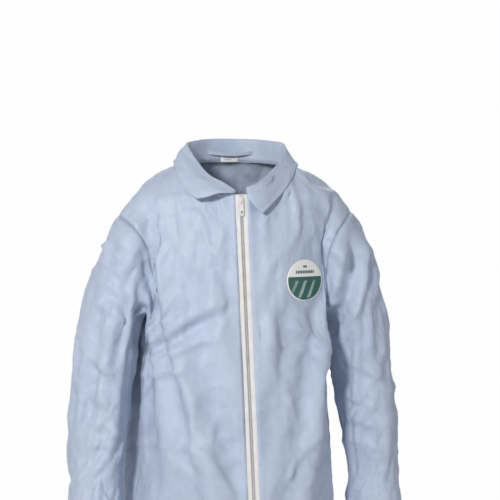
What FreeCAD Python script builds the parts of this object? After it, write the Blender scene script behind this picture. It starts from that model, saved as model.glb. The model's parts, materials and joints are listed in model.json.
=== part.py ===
import FreeCAD, Part
import math
import os

# A knee-length lab coat with a separating coil zip, a fold-down shirt collar and open wrists,
# shaped as it hangs on a wearer: a light nonwoven cloth shell, worn, with the arms down.
# Millimetres. +Z is up, the coat faces -Y, and +X is the wearer's left. The origin is the centre
# of the neck opening, level with the collar seam at the sides of the neck.

Vector = FreeCAD.Vector

os.makedirs("parts", exist_ok=True)
doc = FreeCAD.newDocument("lab_coat")

# ---------------------------------------------------------------------------------------------
# Driving dimensions
# ---------------------------------------------------------------------------------------------

sheet = doc.addObject("Spreadsheet::Sheet", "Sizes")
sheet_rows = []


def put(alias, value, note=""):
    """Write one driving dimension into the sheet, under its alias."""
    row = len(sheet_rows) + 1
    sheet_rows.append(alias)
    sheet.set(f"A{row}", alias)
    sheet.set(f"B{row}", str(value))
    sheet.set(f"C{row}", note)
    sheet.setAlias(f"B{row}", alias)


put("cloth", 1.2, "thickness of a cloth panel, with the air between its folds")

# The trunk, from the neck down. Below the collarbones its front follows the zip's straight
# line; above them it falls back to the shoulder seams, by the distance given last.
TRUNK = [
    # station, height, half width, back, fall of the front
    ("neck", 0, 80, 62, 60),
    ("yoke", -22, 118, 80, 26),
    ("slope", -48, 158, 94, 4),
    ("tip", -82, 178, 106, 0),
    ("chest", -200, 181, 122, 0),
    ("armpit", -324, 175, 124, 0),
    ("waist", -450, 172, 120, 0),
    ("hip", -610, 177, 130, 0),
    ("thigh", -800, 198, 144, 0),
    ("hem", -1060, 228, 162, 0),
]
for station, height, half_width, back, fall in TRUNK:
    put(f"{station}_height", height)
    put(f"{station}_half_width", half_width)
    put(f"{station}_back", back)
    put(f"{station}_fall", fall)

# The zip lies on one straight line, from the foot of the collar to above the knee.
put("zip_top_across", -9)
put("zip_top_front", -95)
put("zip_top_height", -55)
put("zip_foot_across", 13)
put("zip_foot_front", -165)
put("zip_foot_height", -855)

# The sleeve's middle line and size at each station, on the wearer's left.
SLEEVE = [
    # station, across, depth, height, tilt of the section, half across, half deep
    ("head", 124, 6, -106, 52, 58, 68),
    ("bicep", 186, 8, -178, 30, 62, 76),
    ("arm", 218, 12, -262, 13, 57, 70),
    ("elbow", 238, 16, -390, 4, 55, 62),
    ("forearm", 246, 2, -505, 0, 54, 57),
    ("wrist", 248, -18, -612, 0, 50, 53),
]
for station, across, depth, height, tilt, half_across, half_deep in SLEEVE:
    put(f"{station}_across", across)
    put(f"{station}_depth", depth)
    put(f"{station}_level", height)
    put(f"{station}_tilt", tilt)
    put(f"{station}_half_across", half_across)
    put(f"{station}_half_deep", half_deep)
put("elbow_zone", 48, "half the height of the cloth that folds at the elbow")

# The zip's own sizes, number 5 coil.
put("tape_show", 10, "zip centre to the cloth's folded edge")
put("tape_thick", 0.6)
put("coil_wide", 2.4)
put("coil_thick", 2.0)
put("coil_gap", 0.4, "zip centre to the coil's inner side")
put("slider_wide", 9)
put("slider_long", 14)
put("slider_plate", 1.0)
put("slider_room", 2.6, "between the slider's two plates")
put("slider_drop", 11, "chain's top end to the slider's middle, closed")
put("stop_long", 3)
put("pull_long", 26)
put("pull_wide", 6.5)
put("pull_thick", 1.2)
put("box_long", 8)
put("box_wide", 6.5)

# Trim
put("badge_diameter", 72)
put("badge_across", 106)
put("badge_level", -203)
put("badge_thick", 0.4)
put("pocket_wide", 118)
put("pocket_long", 170)
put("pocket_across", 97)
put("pocket_top", -650)
put("loop_long", 78)
put("loop_wide", 6)
put("loop_level", 16)
put("label_wide", 32)
put("label_long", 13)
put("label_level", 2)
put("trim_thick", 0.8)

doc.recompute()


def size(alias):
    """Read one driving dimension back from the sheet."""
    return float(sheet.get(alias))


def bind(thing, name, formula):
    """Bind one property to the sheet; a word in braces is an alias."""
    text = formula.replace("{", "<<Sizes>>.").replace("}", "")
    thing.setExpression(name, text)


nodes = {}


def node(thing, label):
    """Name an object as one piece of the coat, and so one file."""
    thing.Label = label
    nodes[label] = thing
    return thing


def boolean(kind, name, parts):
    """Make a cut or a common of two objects of the document."""
    result = doc.addObject(kind, name)
    result.Base, result.Tool = parts
    return result


def block(name, corner, far_corner):
    """A plain box between two corners, used to cut panels out of a shell."""
    result = doc.addObject("Part::Box", name)
    result.Placement.Base = Vector(*corner)
    result.Length, result.Width, result.Height = [b - a for a, b in zip(corner, far_corner)]
    return result


# ---------------------------------------------------------------------------------------------
# Lofted shells: the trunk and the two sleeves
# ---------------------------------------------------------------------------------------------

# How far forward a trunk section reaches, from the zip's straight line.
FRONT = (
    "({%s_fall} + {zip_top_front} + ({zip_foot_front} - {zip_top_front})"
    " * ({%s_height} - {zip_top_height}) / ({zip_foot_height} - {zip_top_height}))"
)


def ellipse_at(name, half_long, half_short, centre, tilt=None, quarter_turn=False):
    """An ellipse bound to the sheet. A quarter turn puts its long axis along Y."""
    ring = doc.addObject("Part::Ellipse", name)
    turn = FreeCAD.Rotation(Vector(0, 0, 1), 90 if quarter_turn else 0)
    if tilt is not None:
        turn = FreeCAD.Rotation(Vector(0, 1, 0), tilt) * turn
    ring.Placement = FreeCAD.Placement(Vector(), turn)
    bind(ring, "MajorRadius", f"({half_long}) * 1mm")
    bind(ring, "MinorRadius", f"({half_short}) * 1mm")
    for axis, formula in zip("xyz", centre):
        bind(ring, f"Placement.Base.{axis}", f"({formula}) * 1mm")
    return ring


def loft(name, rings):
    result = doc.addObject("Part::Loft", name)
    result.Sections = rings
    result.Solid = True
    result.Ruled = True
    return result


def trunk(name, grow):
    """The trunk as one closed loft, grown or shrunk by a formula all round."""
    rings = []
    for station, *_ in TRUNK:
        front = FRONT % (station, station)
        deep = f"(({{{station}_back}}) - {front}) / 2 + {grow}"
        centre = ("0", f"(({{{station}_back}}) + {front}) / 2", f"{{{station}_height}}")
        wide = f"{{{station}_half_width}} + {grow}"
        rings.append(ellipse_at(f"{name}_{station}", wide, deep, centre))
    return loft(name, rings)


def sleeve(name, grow, side):
    """One sleeve as a closed loft: side is +1 on the wearer's left."""
    rings = []
    for station, *_ in SLEEVE:
        tilt = -side * size(f"{station}_tilt")
        centre = (
            f"{side} * {{{station}_across}}",
            f"{{{station}_depth}}",
            f"{{{station}_level}}",
        )
        deep = f"{{{station}_half_deep}} + {grow}"
        across = f"{{{station}_half_across}} + {grow}"
        rings.append(ellipse_at(f"{name}_{station}", deep, across, centre, tilt, quarter_turn=True))
    return loft(name, rings)


trunk_outside = trunk("trunk_outside", "0")
trunk_inside = trunk("trunk_inside", "-{cloth}")
trunk_trim = trunk("trunk_trim", "{trim_thick}")
trunk_badge = trunk("trunk_badge", "{badge_thick}")
trunk_shell = boolean("Part::Cut", "trunk_shell", (trunk_outside, trunk_inside))

# The neck hole: everything inside the collar seam, seen from above.
neck_hole = doc.addObject("Part::Extrusion", "neck_hole")
neck_hole.Base = ellipse_at("neck_ring", "81.2", "80.2", ("0", "-15", "-70"))
neck_hole.DirMode = "Custom"
neck_hole.Dir = Vector(0, 0, 1)
neck_hole.LengthFwd = 140
neck_hole.Solid = True
shell_open = boolean("Part::Cut", "shell_open", (trunk_shell, neck_hole))

sleeves = {}
for side_name, side in (("left", 1), ("right", -1)):
    outside = sleeve(f"{side_name}_sleeve_outside", "0", side)
    inside = sleeve(f"{side_name}_sleeve_inside", "-{cloth}", side)
    tube = boolean("Part::Cut", f"{side_name}_tube", (outside, inside))
    sleeves[side_name] = (tube, inside)
    shell_open = boolean("Part::Cut", f"shell_{side_name}_armhole", (shell_open, inside))

# ---------------------------------------------------------------------------------------------
# The zip's own frame: X to the wearer's right, Y out from the cloth, Z up along the chain
# ---------------------------------------------------------------------------------------------

zip_top = Vector(size("zip_top_across"), size("zip_top_front"), size("zip_top_height"))
zip_foot = Vector(size("zip_foot_across"), size("zip_foot_front"), size("zip_foot_height"))
zip_up = (zip_top - zip_foot).normalize()
zip_out = Vector(0, -1, 0)
zip_across = zip_out.cross(zip_up).normalize()
zip_length = (zip_top - zip_foot).Length
zip_turn = FreeCAD.Rotation(zip_across, zip_up.cross(zip_across), zip_up, "ZXY")


def on_zip(up, across=0.0, out=0.0):
    """A placement in the zip's frame, measured from the chain's top end."""
    shift = FreeCAD.Placement(Vector(across, out, up), FreeCAD.Rotation())
    return FreeCAD.Placement(zip_top, zip_turn).multiply(shift)


# ---------------------------------------------------------------------------------------------
# Cloth panels
# ---------------------------------------------------------------------------------------------

REACH = 400
TOP, FLOOR = 60, -1100
SIDE_SEAM = 20


def slant_block(name, side):
    """The space on one side of the cloth's folded front edge, ahead of the side seam."""
    edge = size("tape_show") + 0.1
    outline = []
    for point, run_on in ((zip_top, 120), (zip_foot, -260)):
        far = point + zip_up * run_on
        outline.append((far.x + side * edge, far.z))
    outline.append((side * REACH, outline[1][1]))
    outline.append((side * REACH, outline[0][1]))
    points = [Vector(x, -REACH, z) for x, z in outline]
    face = Part.Face(Part.makePolygon(points + points[:1]))
    result = doc.addObject("Part::Feature", name)
    result.Shape = face.extrude(Vector(0, REACH + SIDE_SEAM, 0))
    return result


for side_name, side in (("left", 1), ("right", -1)):
    space = slant_block(f"{side_name}_front_space", side)
    node(boolean("Part::Common", f"{side_name}_front", (shell_open, space)), f"{side_name}_front")

back_space = block("back_space", (-REACH, SIDE_SEAM, FLOOR), (REACH, REACH, TOP))
node(boolean("Part::Common", "back", (shell_open, back_space)), "back")

elbow_high = size("elbow_level") + size("elbow_zone")
elbow_low = size("elbow_level") - size("elbow_zone")
for side_name, (tube, inside) in sleeves.items():
    outer_part = boolean("Part::Cut", f"{side_name}_tube_clear", (tube, trunk_outside))
    bands = (
        ("upper_sleeve", elbow_high, TOP),
        ("elbow_sleeve", elbow_low, elbow_high),
        ("lower_sleeve", FLOOR, elbow_low),
    )
    for band, low, high in bands:
        label = f"{side_name}_{band}"
        space = block(f"{label}_space", (-REACH, -REACH, low), (REACH, REACH, high))
        node(boolean("Part::Common", label, (outer_part, space)), label)

# ---------------------------------------------------------------------------------------------
# Collar: a stand that rises from the seam to the fold, and a leaf that falls back over it
# ---------------------------------------------------------------------------------------------

# Round the neck from the front (0) to the middle of the back (180), on the wearer's left:
# angle, seam height, fold height, then the leaf's outer edge as across, depth and height.
COLLAR = [
    (6, -52, -45, (50, -102, -86)),
    (25, -45, -36, (69, -91, -62)),
    (50, -32, -13, (89, -62, -30)),
    (70, -18, 10, (101, -38, -12)),
    (90, -8, 30, (108, -6, 2)),
    (120, 0, 37, (96, 46, 6)),
    (150, 0, 41, (57, 77, 8)),
    (180, 0, 42, (0, 87, 8)),
]
NECK_CENTRE_Y = -15
SEAM_WIDE, SEAM_DEEP = 80, 79
FOLD_WIDE, FOLD_DEEP = 84, 80


def round_neck(angle, wide, deep, height):
    turn = math.radians(angle)
    return Vector(wide * math.sin(turn), NECK_CENTRE_Y - deep * math.cos(turn), height)


def strip_wire(low, high, outward, thick):
    """A thin closed outline between two edges of a strip, its thickness along outward."""
    along = (high - low).normalize()
    step = (outward - along * outward.dot(along)).normalize() * thick
    corners = [low, high, high + step, low + step]
    return Part.makePolygon(corners + corners[:1])


def collar_wires(kind):
    wires = []
    half = [(angle, *rest) for angle, *rest in COLLAR]
    whole = [(-angle, *rest) for angle, *rest in half] + half[-2::-1]
    thick = size("cloth")
    for angle, seam_z, fold_z, edge in whole:
        fold = round_neck(angle, FOLD_WIDE, FOLD_DEEP, fold_z)
        out = Vector(fold.x, fold.y - NECK_CENTRE_Y, 0).normalize()
        if kind == "stand":
            low = round_neck(angle, SEAM_WIDE, SEAM_DEEP, seam_z)
            wires.append(strip_wire(low, fold - Vector(0, 0, 0.4), out, -thick))
        else:
            rim = Vector(math.copysign(edge[0], angle), edge[1], edge[2])
            wires.append(strip_wire(rim, fold, out + Vector(0, 0, 0.6), thick))
    return wires


for kind in ("stand", "leaf"):
    strip = doc.addObject("Part::Feature", f"collar_{kind}")
    strip.Shape = Part.makeLoft(collar_wires(kind), True, False)
    node(strip, f"collar_{kind}")

# ---------------------------------------------------------------------------------------------
# Zip: tapes, coils, stops, pin and box, slider and pull
# ---------------------------------------------------------------------------------------------


def zip_box(label, across, out, up, sizes):
    """A plain block in the zip's frame: sizes are formulas, and across, out, up its low corner."""
    result = doc.addObject("Part::Box", label)
    for name, formula in zip(("Length", "Width", "Height"), sizes):
        bind(result, name, f"({formula}) * 1mm")
    result.Placement = on_zip(up, across, out)
    return node(result, label)


half_tape = size("tape_thick") / 2
half_coil = size("coil_thick") / 2
coil_outer = size("coil_gap") + size("coil_wide")
chain_long = zip_length - size("box_long")
for side_name, side in (("left", 1), ("right", -1)):
    tape_wide = size("tape_show") - coil_outer
    low = -size("tape_show") if side > 0 else coil_outer
    zip_box(
        f"{side_name}_zip_tape", low, -half_tape, -zip_length,
        (str(tape_wide), "{tape_thick}", str(zip_length)),
    )
    low = -coil_outer if side > 0 else size("coil_gap")
    zip_box(
        f"{side_name}_zip_coil", low, -half_coil, -chain_long,
        ("{coil_wide}", "{coil_thick}", f"{chain_long - size('stop_long')}"),
    )
    zip_box(
        f"{side_name}_top_stop", low, -half_coil - 0.2, -size("stop_long"),
        ("{coil_wide}", "{coil_thick} + 0.4", "{stop_long}"),
    )
zip_box(
    "zip_pin", 0.6 - coil_outer, -half_coil, -zip_length,
    ("{coil_wide} - 0.6", "{coil_thick}", "{box_long}"),
)
zip_box(
    "zip_retainer", -size("box_wide") / 2, -half_coil - 0.8, -zip_length - 3,
    ("{box_wide}", "{coil_thick} + 1.6", "3"),
)


def plane(body, role):
    for feature in body.Origin.OriginFeatures:
        if feature.Role == role:
            return feature
    raise ValueError(role)


def sketch_on(body, name, role, outlines, raise_by=0.0):
    """A sketch of closed straight-sided outlines on one of the body's own planes."""
    sketch = body.newObject("Sketcher::SketchObject", name)
    sketch.AttachmentSupport = [(plane(body, role), "")]
    sketch.MapMode = "FlatFace"
    sketch.AttachmentOffset.Base = Vector(0, 0, raise_by)
    for outline in outlines:
        corners = [Vector(x, y, 0) for x, y in outline]
        for a, b in zip(corners, corners[1:] + corners[:1]):
            sketch.addGeometry(Part.LineSegment(a, b), False)
    return sketch


def pad(body, name, role, outlines, length, raise_by=0.0):
    sketch = sketch_on(body, f"{name}_sketch", role, outlines, raise_by)
    feature = body.newObject("PartDesign::Pad", name)
    feature.Profile = sketch
    bind(feature, "Length", f"({length}) * 1mm")
    feature.Midplane = True
    return feature


def rectangle(x_low, x_high, y_low, y_high):
    return [(x_low, y_low), (x_high, y_low), (x_high, y_high), (x_low, y_high)]


# The slider: two plates joined by a post that runs between the coils, rails that hold the
# coils in, and a crown on top whose window carries the pull.
PLANE_ACROSS = "XY_Plane"
slider = doc.addObject("PartDesign::Body", "zip_slider")
half_room = size("slider_room") / 2
plate = size("slider_plate")
half_wide = size("slider_wide") / 2
rail_in = half_wide - 0.8
rail_low = half_tape + 0.35
crown_high = half_room + plate + 3.2
window_low = half_room + plate + 0.25
outlines = []
c_shape = [
    (-half_wide, rail_low), (-half_wide, half_room + plate), (half_wide, half_room + plate),
    (half_wide, rail_low), (rail_in, rail_low), (rail_in, half_room), (-rail_in, half_room),
    (-rail_in, rail_low),
]
pad(slider, "top_plate", PLANE_ACROSS, [c_shape], "{slider_long}")
doc.recompute()
bottom_shape = [(x, -y) for x, y in c_shape]
post_half = size("coil_gap") - 0.15
joined = [
    (-half_wide, -rail_low), (-half_wide, -half_room - plate), (half_wide, -half_room - plate),
    (half_wide, -rail_low), (rail_in, -rail_low), (rail_in, -half_room), (post_half, -half_room),
    (post_half, half_room + 0.2), (-post_half, half_room + 0.2), (-post_half, -half_room),
    (-rail_in, -half_room), (-rail_in, -rail_low),
]
pad(slider, "bottom_plate", PLANE_ACROSS, [joined], "{slider_long}")
crown = pad(
    slider, "crown", "YZ_Plane",
    [
        [(half_room + plate - 0.1, -5), (crown_high, -3), (crown_high, 3), (half_room + plate - 0.1, 5)],
        rectangle(window_low, crown_high - 1.0, -1.6, 1.6),
    ],
    "1.8",
)
slider.Placement = on_zip(-size("slider_drop"))
node(slider, "zip_slider")

# The pull: a tab with an eye, hung by its top bar in the crown's window.
bar_radius = 0.6
pull_pivot = window_low + bar_radius * math.sqrt(2) + 0.1
pull = doc.addObject("PartDesign::Body", "zip_pull")
half_pull = size("pull_wide") / 2
pad(
    pull, "tab", "XZ_Plane",
    [
        [
            (-half_pull + 1, bar_radius), (half_pull - 1, bar_radius), (half_pull, -3),
            (half_pull, 2 - size("pull_long")), (half_pull - 2, -size("pull_long")),
            (2 - half_pull, -size("pull_long")), (-half_pull, 2 - size("pull_long")),
            (-half_pull, -3),
        ],
        rectangle(-1.3, 1.3, -7.5, -bar_radius),
        rectangle(-1.4, 1.4, 3.5 - size("pull_long"), 8.5 - size("pull_long")),
    ],
    "{pull_thick}",
)
pull.Placement = on_zip(-size("slider_drop"), 0, pull_pivot)
node(pull, "zip_pull")

# ---------------------------------------------------------------------------------------------
# Trim: badge, pockets, hanging loop and size label
# ---------------------------------------------------------------------------------------------

badge_tool = doc.addObject("Part::Cylinder", "badge_tool")
bind(badge_tool, "Radius", "{badge_diameter} * 0.5mm")
badge_tool.Height = 200
badge_tool.Placement = FreeCAD.Placement(
    Vector(size("badge_across"), 0, size("badge_level")), FreeCAD.Rotation(Vector(1, 0, 0), 90)
)
badge_skin = boolean("Part::Cut", "badge_skin", (trunk_badge, trunk_outside))
node(boolean("Part::Common", "chest_badge", (badge_skin, badge_tool)), "chest_badge")

trim_skin = boolean("Part::Cut", "trim_skin", (trunk_trim, trunk_outside))
for side_name, side in (("left", 1), ("right", -1)):
    centre = side * size("pocket_across")
    half = size("pocket_wide") / 2
    top = size("pocket_top")
    space = block(
        f"{side_name}_pocket_space",
        (centre - half, -REACH, top - size("pocket_long")), (centre + half, 0, top),
    )
    label = f"{side_name}_pocket"
    node(boolean("Part::Common", label, (trim_skin, space)), label)

# The hanging loop and the size label are sewn inside the collar stand, at the back of the neck.
# Each one's lower corners lie on the stand's inner face, which leans out towards the fold.


def back_strip(label, wide, tall, low):
    """An upright strip across the back of the neck: wide, tall and low are aliases."""
    half = size(wide) / 2
    up_the_stand = size(low) / COLLAR[-1][2]
    stand_wide = SEAM_WIDE + (FOLD_WIDE - SEAM_WIDE) * up_the_stand - size("cloth")
    stand_deep = SEAM_DEEP + (FOLD_DEEP - SEAM_DEEP) * up_the_stand - size("cloth")
    behind = NECK_CENTRE_Y + stand_deep * math.sqrt(1 - (half / stand_wide) ** 2)
    result = doc.addObject("Part::Box", label)
    bind(result, "Length", f"{{{wide}}} * 1mm")
    bind(result, "Width", "{trim_thick} * 1mm")
    bind(result, "Height", f"{{{tall}}} * 1mm")
    result.Placement.Base = Vector(-half, behind - size("trim_thick"), size(low))
    return node(result, label)


back_strip("hanger_loop", "loop_long", "loop_wide", "loop_level")
back_strip("size_label", "label_wide", "label_long", "label_level")

# ---------------------------------------------------------------------------------------------
# Check and write
# ---------------------------------------------------------------------------------------------

doc.recompute()
for thing in doc.Objects:
    bad = [word for word in thing.State if word in ("Invalid", "Error")]
    if bad:
        raise RuntimeError(f"{thing.Label}: {bad}")
for label, thing in nodes.items():
    shape = thing.Shape
    if shape.isNull() or not shape.isValid() or not shape.Solids:
        raise RuntimeError(f"{label}: the shape is empty or not valid")
    box = shape.BoundBox
    print(
        f"{label}: solids {len(shape.Solids)}, volume {shape.Volume / 1000:.2f} cm3, "
        f"x {box.XMin:.1f} {box.XMax:.1f}, y {box.YMin:.1f} {box.YMax:.1f}, "
        f"z {box.ZMin:.1f} {box.ZMax:.1f}"
    )
    shape.exportStep(f"parts/{label}.step")
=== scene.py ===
import math
import random

import bmesh
import bpy
import numpy as np
from mathutils import Matrix, Vector, noise
from mathutils.bvhtree import BVHTree
from mathutils.kdtree import KDTree
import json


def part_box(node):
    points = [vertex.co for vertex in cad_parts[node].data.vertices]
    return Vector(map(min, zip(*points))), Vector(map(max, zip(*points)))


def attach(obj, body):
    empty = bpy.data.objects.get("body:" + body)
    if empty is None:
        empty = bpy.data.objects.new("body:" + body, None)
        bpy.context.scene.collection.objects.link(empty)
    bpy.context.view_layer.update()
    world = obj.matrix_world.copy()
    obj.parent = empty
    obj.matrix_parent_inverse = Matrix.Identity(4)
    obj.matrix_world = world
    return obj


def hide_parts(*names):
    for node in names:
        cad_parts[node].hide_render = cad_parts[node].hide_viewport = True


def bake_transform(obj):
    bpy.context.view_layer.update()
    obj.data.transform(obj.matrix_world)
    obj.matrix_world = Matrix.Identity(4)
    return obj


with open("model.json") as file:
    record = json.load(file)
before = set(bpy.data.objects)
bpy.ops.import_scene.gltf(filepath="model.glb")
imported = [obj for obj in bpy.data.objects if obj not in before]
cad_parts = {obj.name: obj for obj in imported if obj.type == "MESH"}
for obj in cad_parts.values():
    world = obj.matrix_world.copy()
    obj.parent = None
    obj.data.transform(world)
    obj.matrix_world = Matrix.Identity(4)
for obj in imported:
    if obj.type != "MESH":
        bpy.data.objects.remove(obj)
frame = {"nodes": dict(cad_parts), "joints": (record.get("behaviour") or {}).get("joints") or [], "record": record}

# %% [markdown]
# # A lab coat in thin nonwoven cloth
#
# The coat is cut from flat panels, sewn into a shell and worn. Its hard pieces, the zip's slider
# and pull, come from the CAD frame and stay where they are. The cloth is sewn here as one mesh of
# clean rows and columns, draped by a cloth simulation over a body that is never shown, and then
# taken apart along its seams into the panels that the real coat is sewn from.
#
# Lengths are in metres, +Z is up, the coat faces -Y and +X is the wearer's left.

# %% Places read from the frame
joints = {joint["name"]: joint for joint in frame["joints"]}
mounts = {mount["name"]: mount for mount in frame["record"]["mounts"]}
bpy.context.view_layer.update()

ZIP_DOWN = Vector(joints["zip_slide"]["axis"]).normalized()
stop_low, stop_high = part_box("left_top_stop")
other_low, other_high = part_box("right_top_stop")
ZIP_TOP = (stop_low + stop_high + other_low + other_high) / 4
ZIP_TOP += ZIP_DOWN * -(stop_high.z - ZIP_TOP.z)
box_low, box_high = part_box("zip_retainer")
ZIP_LENGTH = (ZIP_TOP.z - box_low.z) / -ZIP_DOWN.z
HEM_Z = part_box("back")[0].z
WRIST = {1: Vector(mounts["left_wrist_opening"]["pos_m"]),
         -1: Vector(mounts["right_wrist_opening"]["pos_m"])}
print("zip from", tuple(round(v, 4) for v in ZIP_TOP), "length", round(ZIP_LENGTH, 4))


def zip_point(z):
    """The middle of the zip's line at a height, which the hem end of the coat carries on."""
    return ZIP_TOP + ZIP_DOWN * ((ZIP_TOP.z - z) / -ZIP_DOWN.z)


# %% [markdown]
# ## The cut
#
# The coat is sewn with the arms held out, the way a pattern cutter draws it, and then the arms
# are let down. The cloth that spans the raised arm has nowhere to go when the arm drops, and it
# is this spare cloth that folds at the armpit and across the front of the sleeve head.

# %% The trunk's sections and the sleeves' middle lines
TRUNK = [
    # height, half width, front, back
    (-0.330, 0.212, None, 0.128),
    (-0.450, 0.206, None, 0.126),
    (-0.610, 0.206, None, 0.134),
    (-0.800, 0.216, None, 0.146),
    (HEM_Z, 0.236, None, 0.160),
]
ARMPIT_Z = TRUNK[0][0]
EDGE = 0.0102           # zip's middle to the cloth's folded front edge
SPACING = 0.0105        # between rows of the cloth
NECK_SIDE = Vector((0.080, -0.004, -0.004))
NECK_BACK_Y = 0.063
SHOULDER_TIP = Vector((0.200, 0.012, -0.062))
NECK_COLUMNS = 11
SHOULDER_COLUMNS = 14
FRONT_COLUMNS = NECK_COLUMNS + SHOULDER_COLUMNS
UP_ROWS = 26
DOWN_ROWS = round((ARMPIT_Z - HEM_Z) / SPACING)
SLEEVE_ROWS = 50
CAP_ROWS = 9
RAISE = math.radians(34)
SLEEVE_SLACK = 1.03
SHOULDER_PIVOT = Vector((0.165, 0.008, -0.100))


def trunk_at(z):
    """Half width, front and back of the trunk at a height."""
    heights = [row[0] for row in TRUNK][::-1]
    wide = np.interp(z, heights, [row[1] for row in TRUNK][::-1])
    back = np.interp(z, heights, [row[3] for row in TRUNK][::-1])
    return float(wide), zip_point(z).y, float(back)


def trunk_point(z, turn):
    """A point of the trunk: turn is 0 at the front, 90 degrees at the wearer's left side."""
    wide, front, back = trunk_at(z)
    middle, deep = (front + back) / 2, (back - front) / 2
    return Vector((wide * math.sin(turn), middle - deep * math.cos(turn), z))


def curve(points, share):
    """A point on a smooth curve through a few points, spaced evenly by length."""
    points = [Vector(p) for p in points]
    dense = []
    for i in range(len(points) - 1):
        before = points[max(i - 1, 0)]
        after = points[min(i + 2, len(points) - 1)]
        a, b = points[i], points[i + 1]
        for step in range(12):
            t = step / 12
            dense.append(
                0.5 * ((2 * a) + (b - before) * t + (2 * before - 5 * a + 4 * b - after) * t * t
                       + (3 * a - before - 3 * b + after) * t ** 3)
            )
    dense.append(points[-1])
    lengths = [0.0]
    for a, b in zip(dense, dense[1:]):
        lengths.append(lengths[-1] + (b - a).length)
    goal = share * lengths[-1]
    for i in range(len(dense) - 1):
        if goal <= lengths[i + 1] + 1e-9:
            part = (goal - lengths[i]) / max(lengths[i + 1] - lengths[i], 1e-9)
            return dense[i].lerp(dense[i + 1], part)
    return dense[-1]


def mirrored(point, side):
    return Vector((point[0] * side, point[1], point[2]))


ARMPIT = Vector((trunk_at(ARMPIT_Z)[0], 0.004, ARMPIT_Z))
FRONT_ARMHOLE = [ARMPIT, (0.190, -0.048, -0.262), (0.180, -0.060, -0.180), (0.184, -0.040, -0.105),
                 SHOULDER_TIP]
BACK_ARMHOLE = [ARMPIT, (0.194, 0.062, -0.262), (0.186, 0.080, -0.180), (0.186, 0.058, -0.105),
                SHOULDER_TIP]


def neckline(side):
    """The front neckline from the zip's top to the side of the neck."""
    foot = zip_point(ZIP_TOP.z) + Vector((side * EDGE, 0, 0))
    return [foot, mirrored((0.034, -0.088, -0.046), side), mirrored((0.062, -0.060, -0.028), side),
            mirrored(NECK_SIDE, side)]


BACK_NECK = [NECK_SIDE, (0.060, 0.036, 0.000), (0.030, 0.057, 0.003), (0, NECK_BACK_Y, 0.004)]
SHOULDER_SEAM = [NECK_SIDE, (0.118, 0.002, -0.010), (0.158, 0.010, -0.030), SHOULDER_TIP]


def coons(bottom, top, left, right, u, v):
    """A point of the patch spanned by four edge curves, each a function of its share."""
    sides = left(v) * (1 - u) + right(v) * u
    ends = bottom(u) * (1 - v) + top(u) * v
    corners = (bottom(0) * (1 - u) + bottom(1) * u) * (1 - v) + (top(0) * (1 - u) + top(1) * u) * v
    return sides + ends - corners


# %% Sew the shell
coat_points = []
coat_index = {}


def vertex(key, make):
    """The number of the vertex with this name, made the first time it is asked for."""
    if key not in coat_index:
        coat_index[key] = len(coat_points)
        coat_points.append(make())
    return coat_index[key]


TOP_ROW = DOWN_ROWS + UP_ROWS


def front_key(side, row, column):
    """Names a front vertex; the ones on a seam take the back's name for it."""
    if column == FRONT_COLUMNS and (row <= DOWN_ROWS or row == TOP_ROW):
        return back_key(row, 0 if side > 0 else 2 * FRONT_COLUMNS)
    if row == TOP_ROW and column >= NECK_COLUMNS:
        out = FRONT_COLUMNS - column
        return back_key(row, out if side > 0 else 2 * FRONT_COLUMNS - out)
    return ("front", side, row, column)


def back_key(row, column):
    return ("back", 0, row, column)


def top_of_front(side, u):
    edge = NECK_COLUMNS / FRONT_COLUMNS
    if u <= edge:
        return curve(neckline(side), u / edge)
    return mirrored(curve(SHOULDER_SEAM, (u - edge) / (1 - edge)), side)


def top_of_back(u):
    """From the wearer's left shoulder tip, round the back of the neck, to the right one."""
    side = 1 if u <= 0.5 else -1
    inward = u * 2 if side > 0 else (1 - u) * 2
    edge = SHOULDER_COLUMNS / FRONT_COLUMNS
    if inward <= edge:
        return mirrored(curve(SHOULDER_SEAM, 1 - inward / edge), side)
    return mirrored(curve(BACK_NECK, (inward - edge) / (1 - edge)), side)


def front_point(side, row, column):
    u = column / FRONT_COLUMNS
    if row <= DOWN_ROWS:
        z = HEM_Z + (ARMPIT_Z - HEM_Z) * row / DOWN_ROWS
        return front_low(side, z, u)
    v = (row - DOWN_ROWS) / UP_ROWS
    return coons(
        lambda s: front_low(side, ARMPIT_Z, s),
        lambda s: top_of_front(side, s),
        lambda s: front_edge(side, ARMPIT_Z + (ZIP_TOP.z - ARMPIT_Z) * s),
        lambda s: mirrored(curve(FRONT_ARMHOLE, s), side),
        u, v,
    )


def front_edge(side, z):
    return zip_point(z) + Vector((side * EDGE, 0, 0))


def front_low(side, z, u):
    wide = trunk_at(z)[0]
    start = math.asin(EDGE / wide)
    point = trunk_point(z, start + (math.pi / 2 - start) * u)
    point = mirrored(point, side)
    point.x += zip_point(z).x * (1 - u)
    return point


def back_low(z, u):
    return trunk_point(z, math.pi / 2 + math.pi * u)


def back_point(row, column):
    u = column / (2 * FRONT_COLUMNS)
    if row <= DOWN_ROWS:
        return back_low(HEM_Z + (ARMPIT_Z - HEM_Z) * row / DOWN_ROWS, u)
    v = (row - DOWN_ROWS) / UP_ROWS
    return coons(
        lambda s: back_low(ARMPIT_Z, s),
        top_of_back,
        lambda s: curve(BACK_ARMHOLE, s),
        lambda s: mirrored(curve(BACK_ARMHOLE, s), -1),
        u, v,
    )


def front_vertex(side, row, column):
    key = front_key(side, row, column)
    if key[0] == "back":
        return back_vertex(key[2], key[3])
    return vertex(key, lambda: front_point(side, row, column))


def back_vertex(row, column):
    return vertex(back_key(row, column), lambda: back_point(row, column))


PANELS = ["left_front", "right_front", "back", "left_sleeve", "right_sleeve"]
coat_faces = []
coat_panels = []


def add_face(panel, corners):
    coat_faces.append(corners)
    coat_panels.append(PANELS.index(panel))


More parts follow.
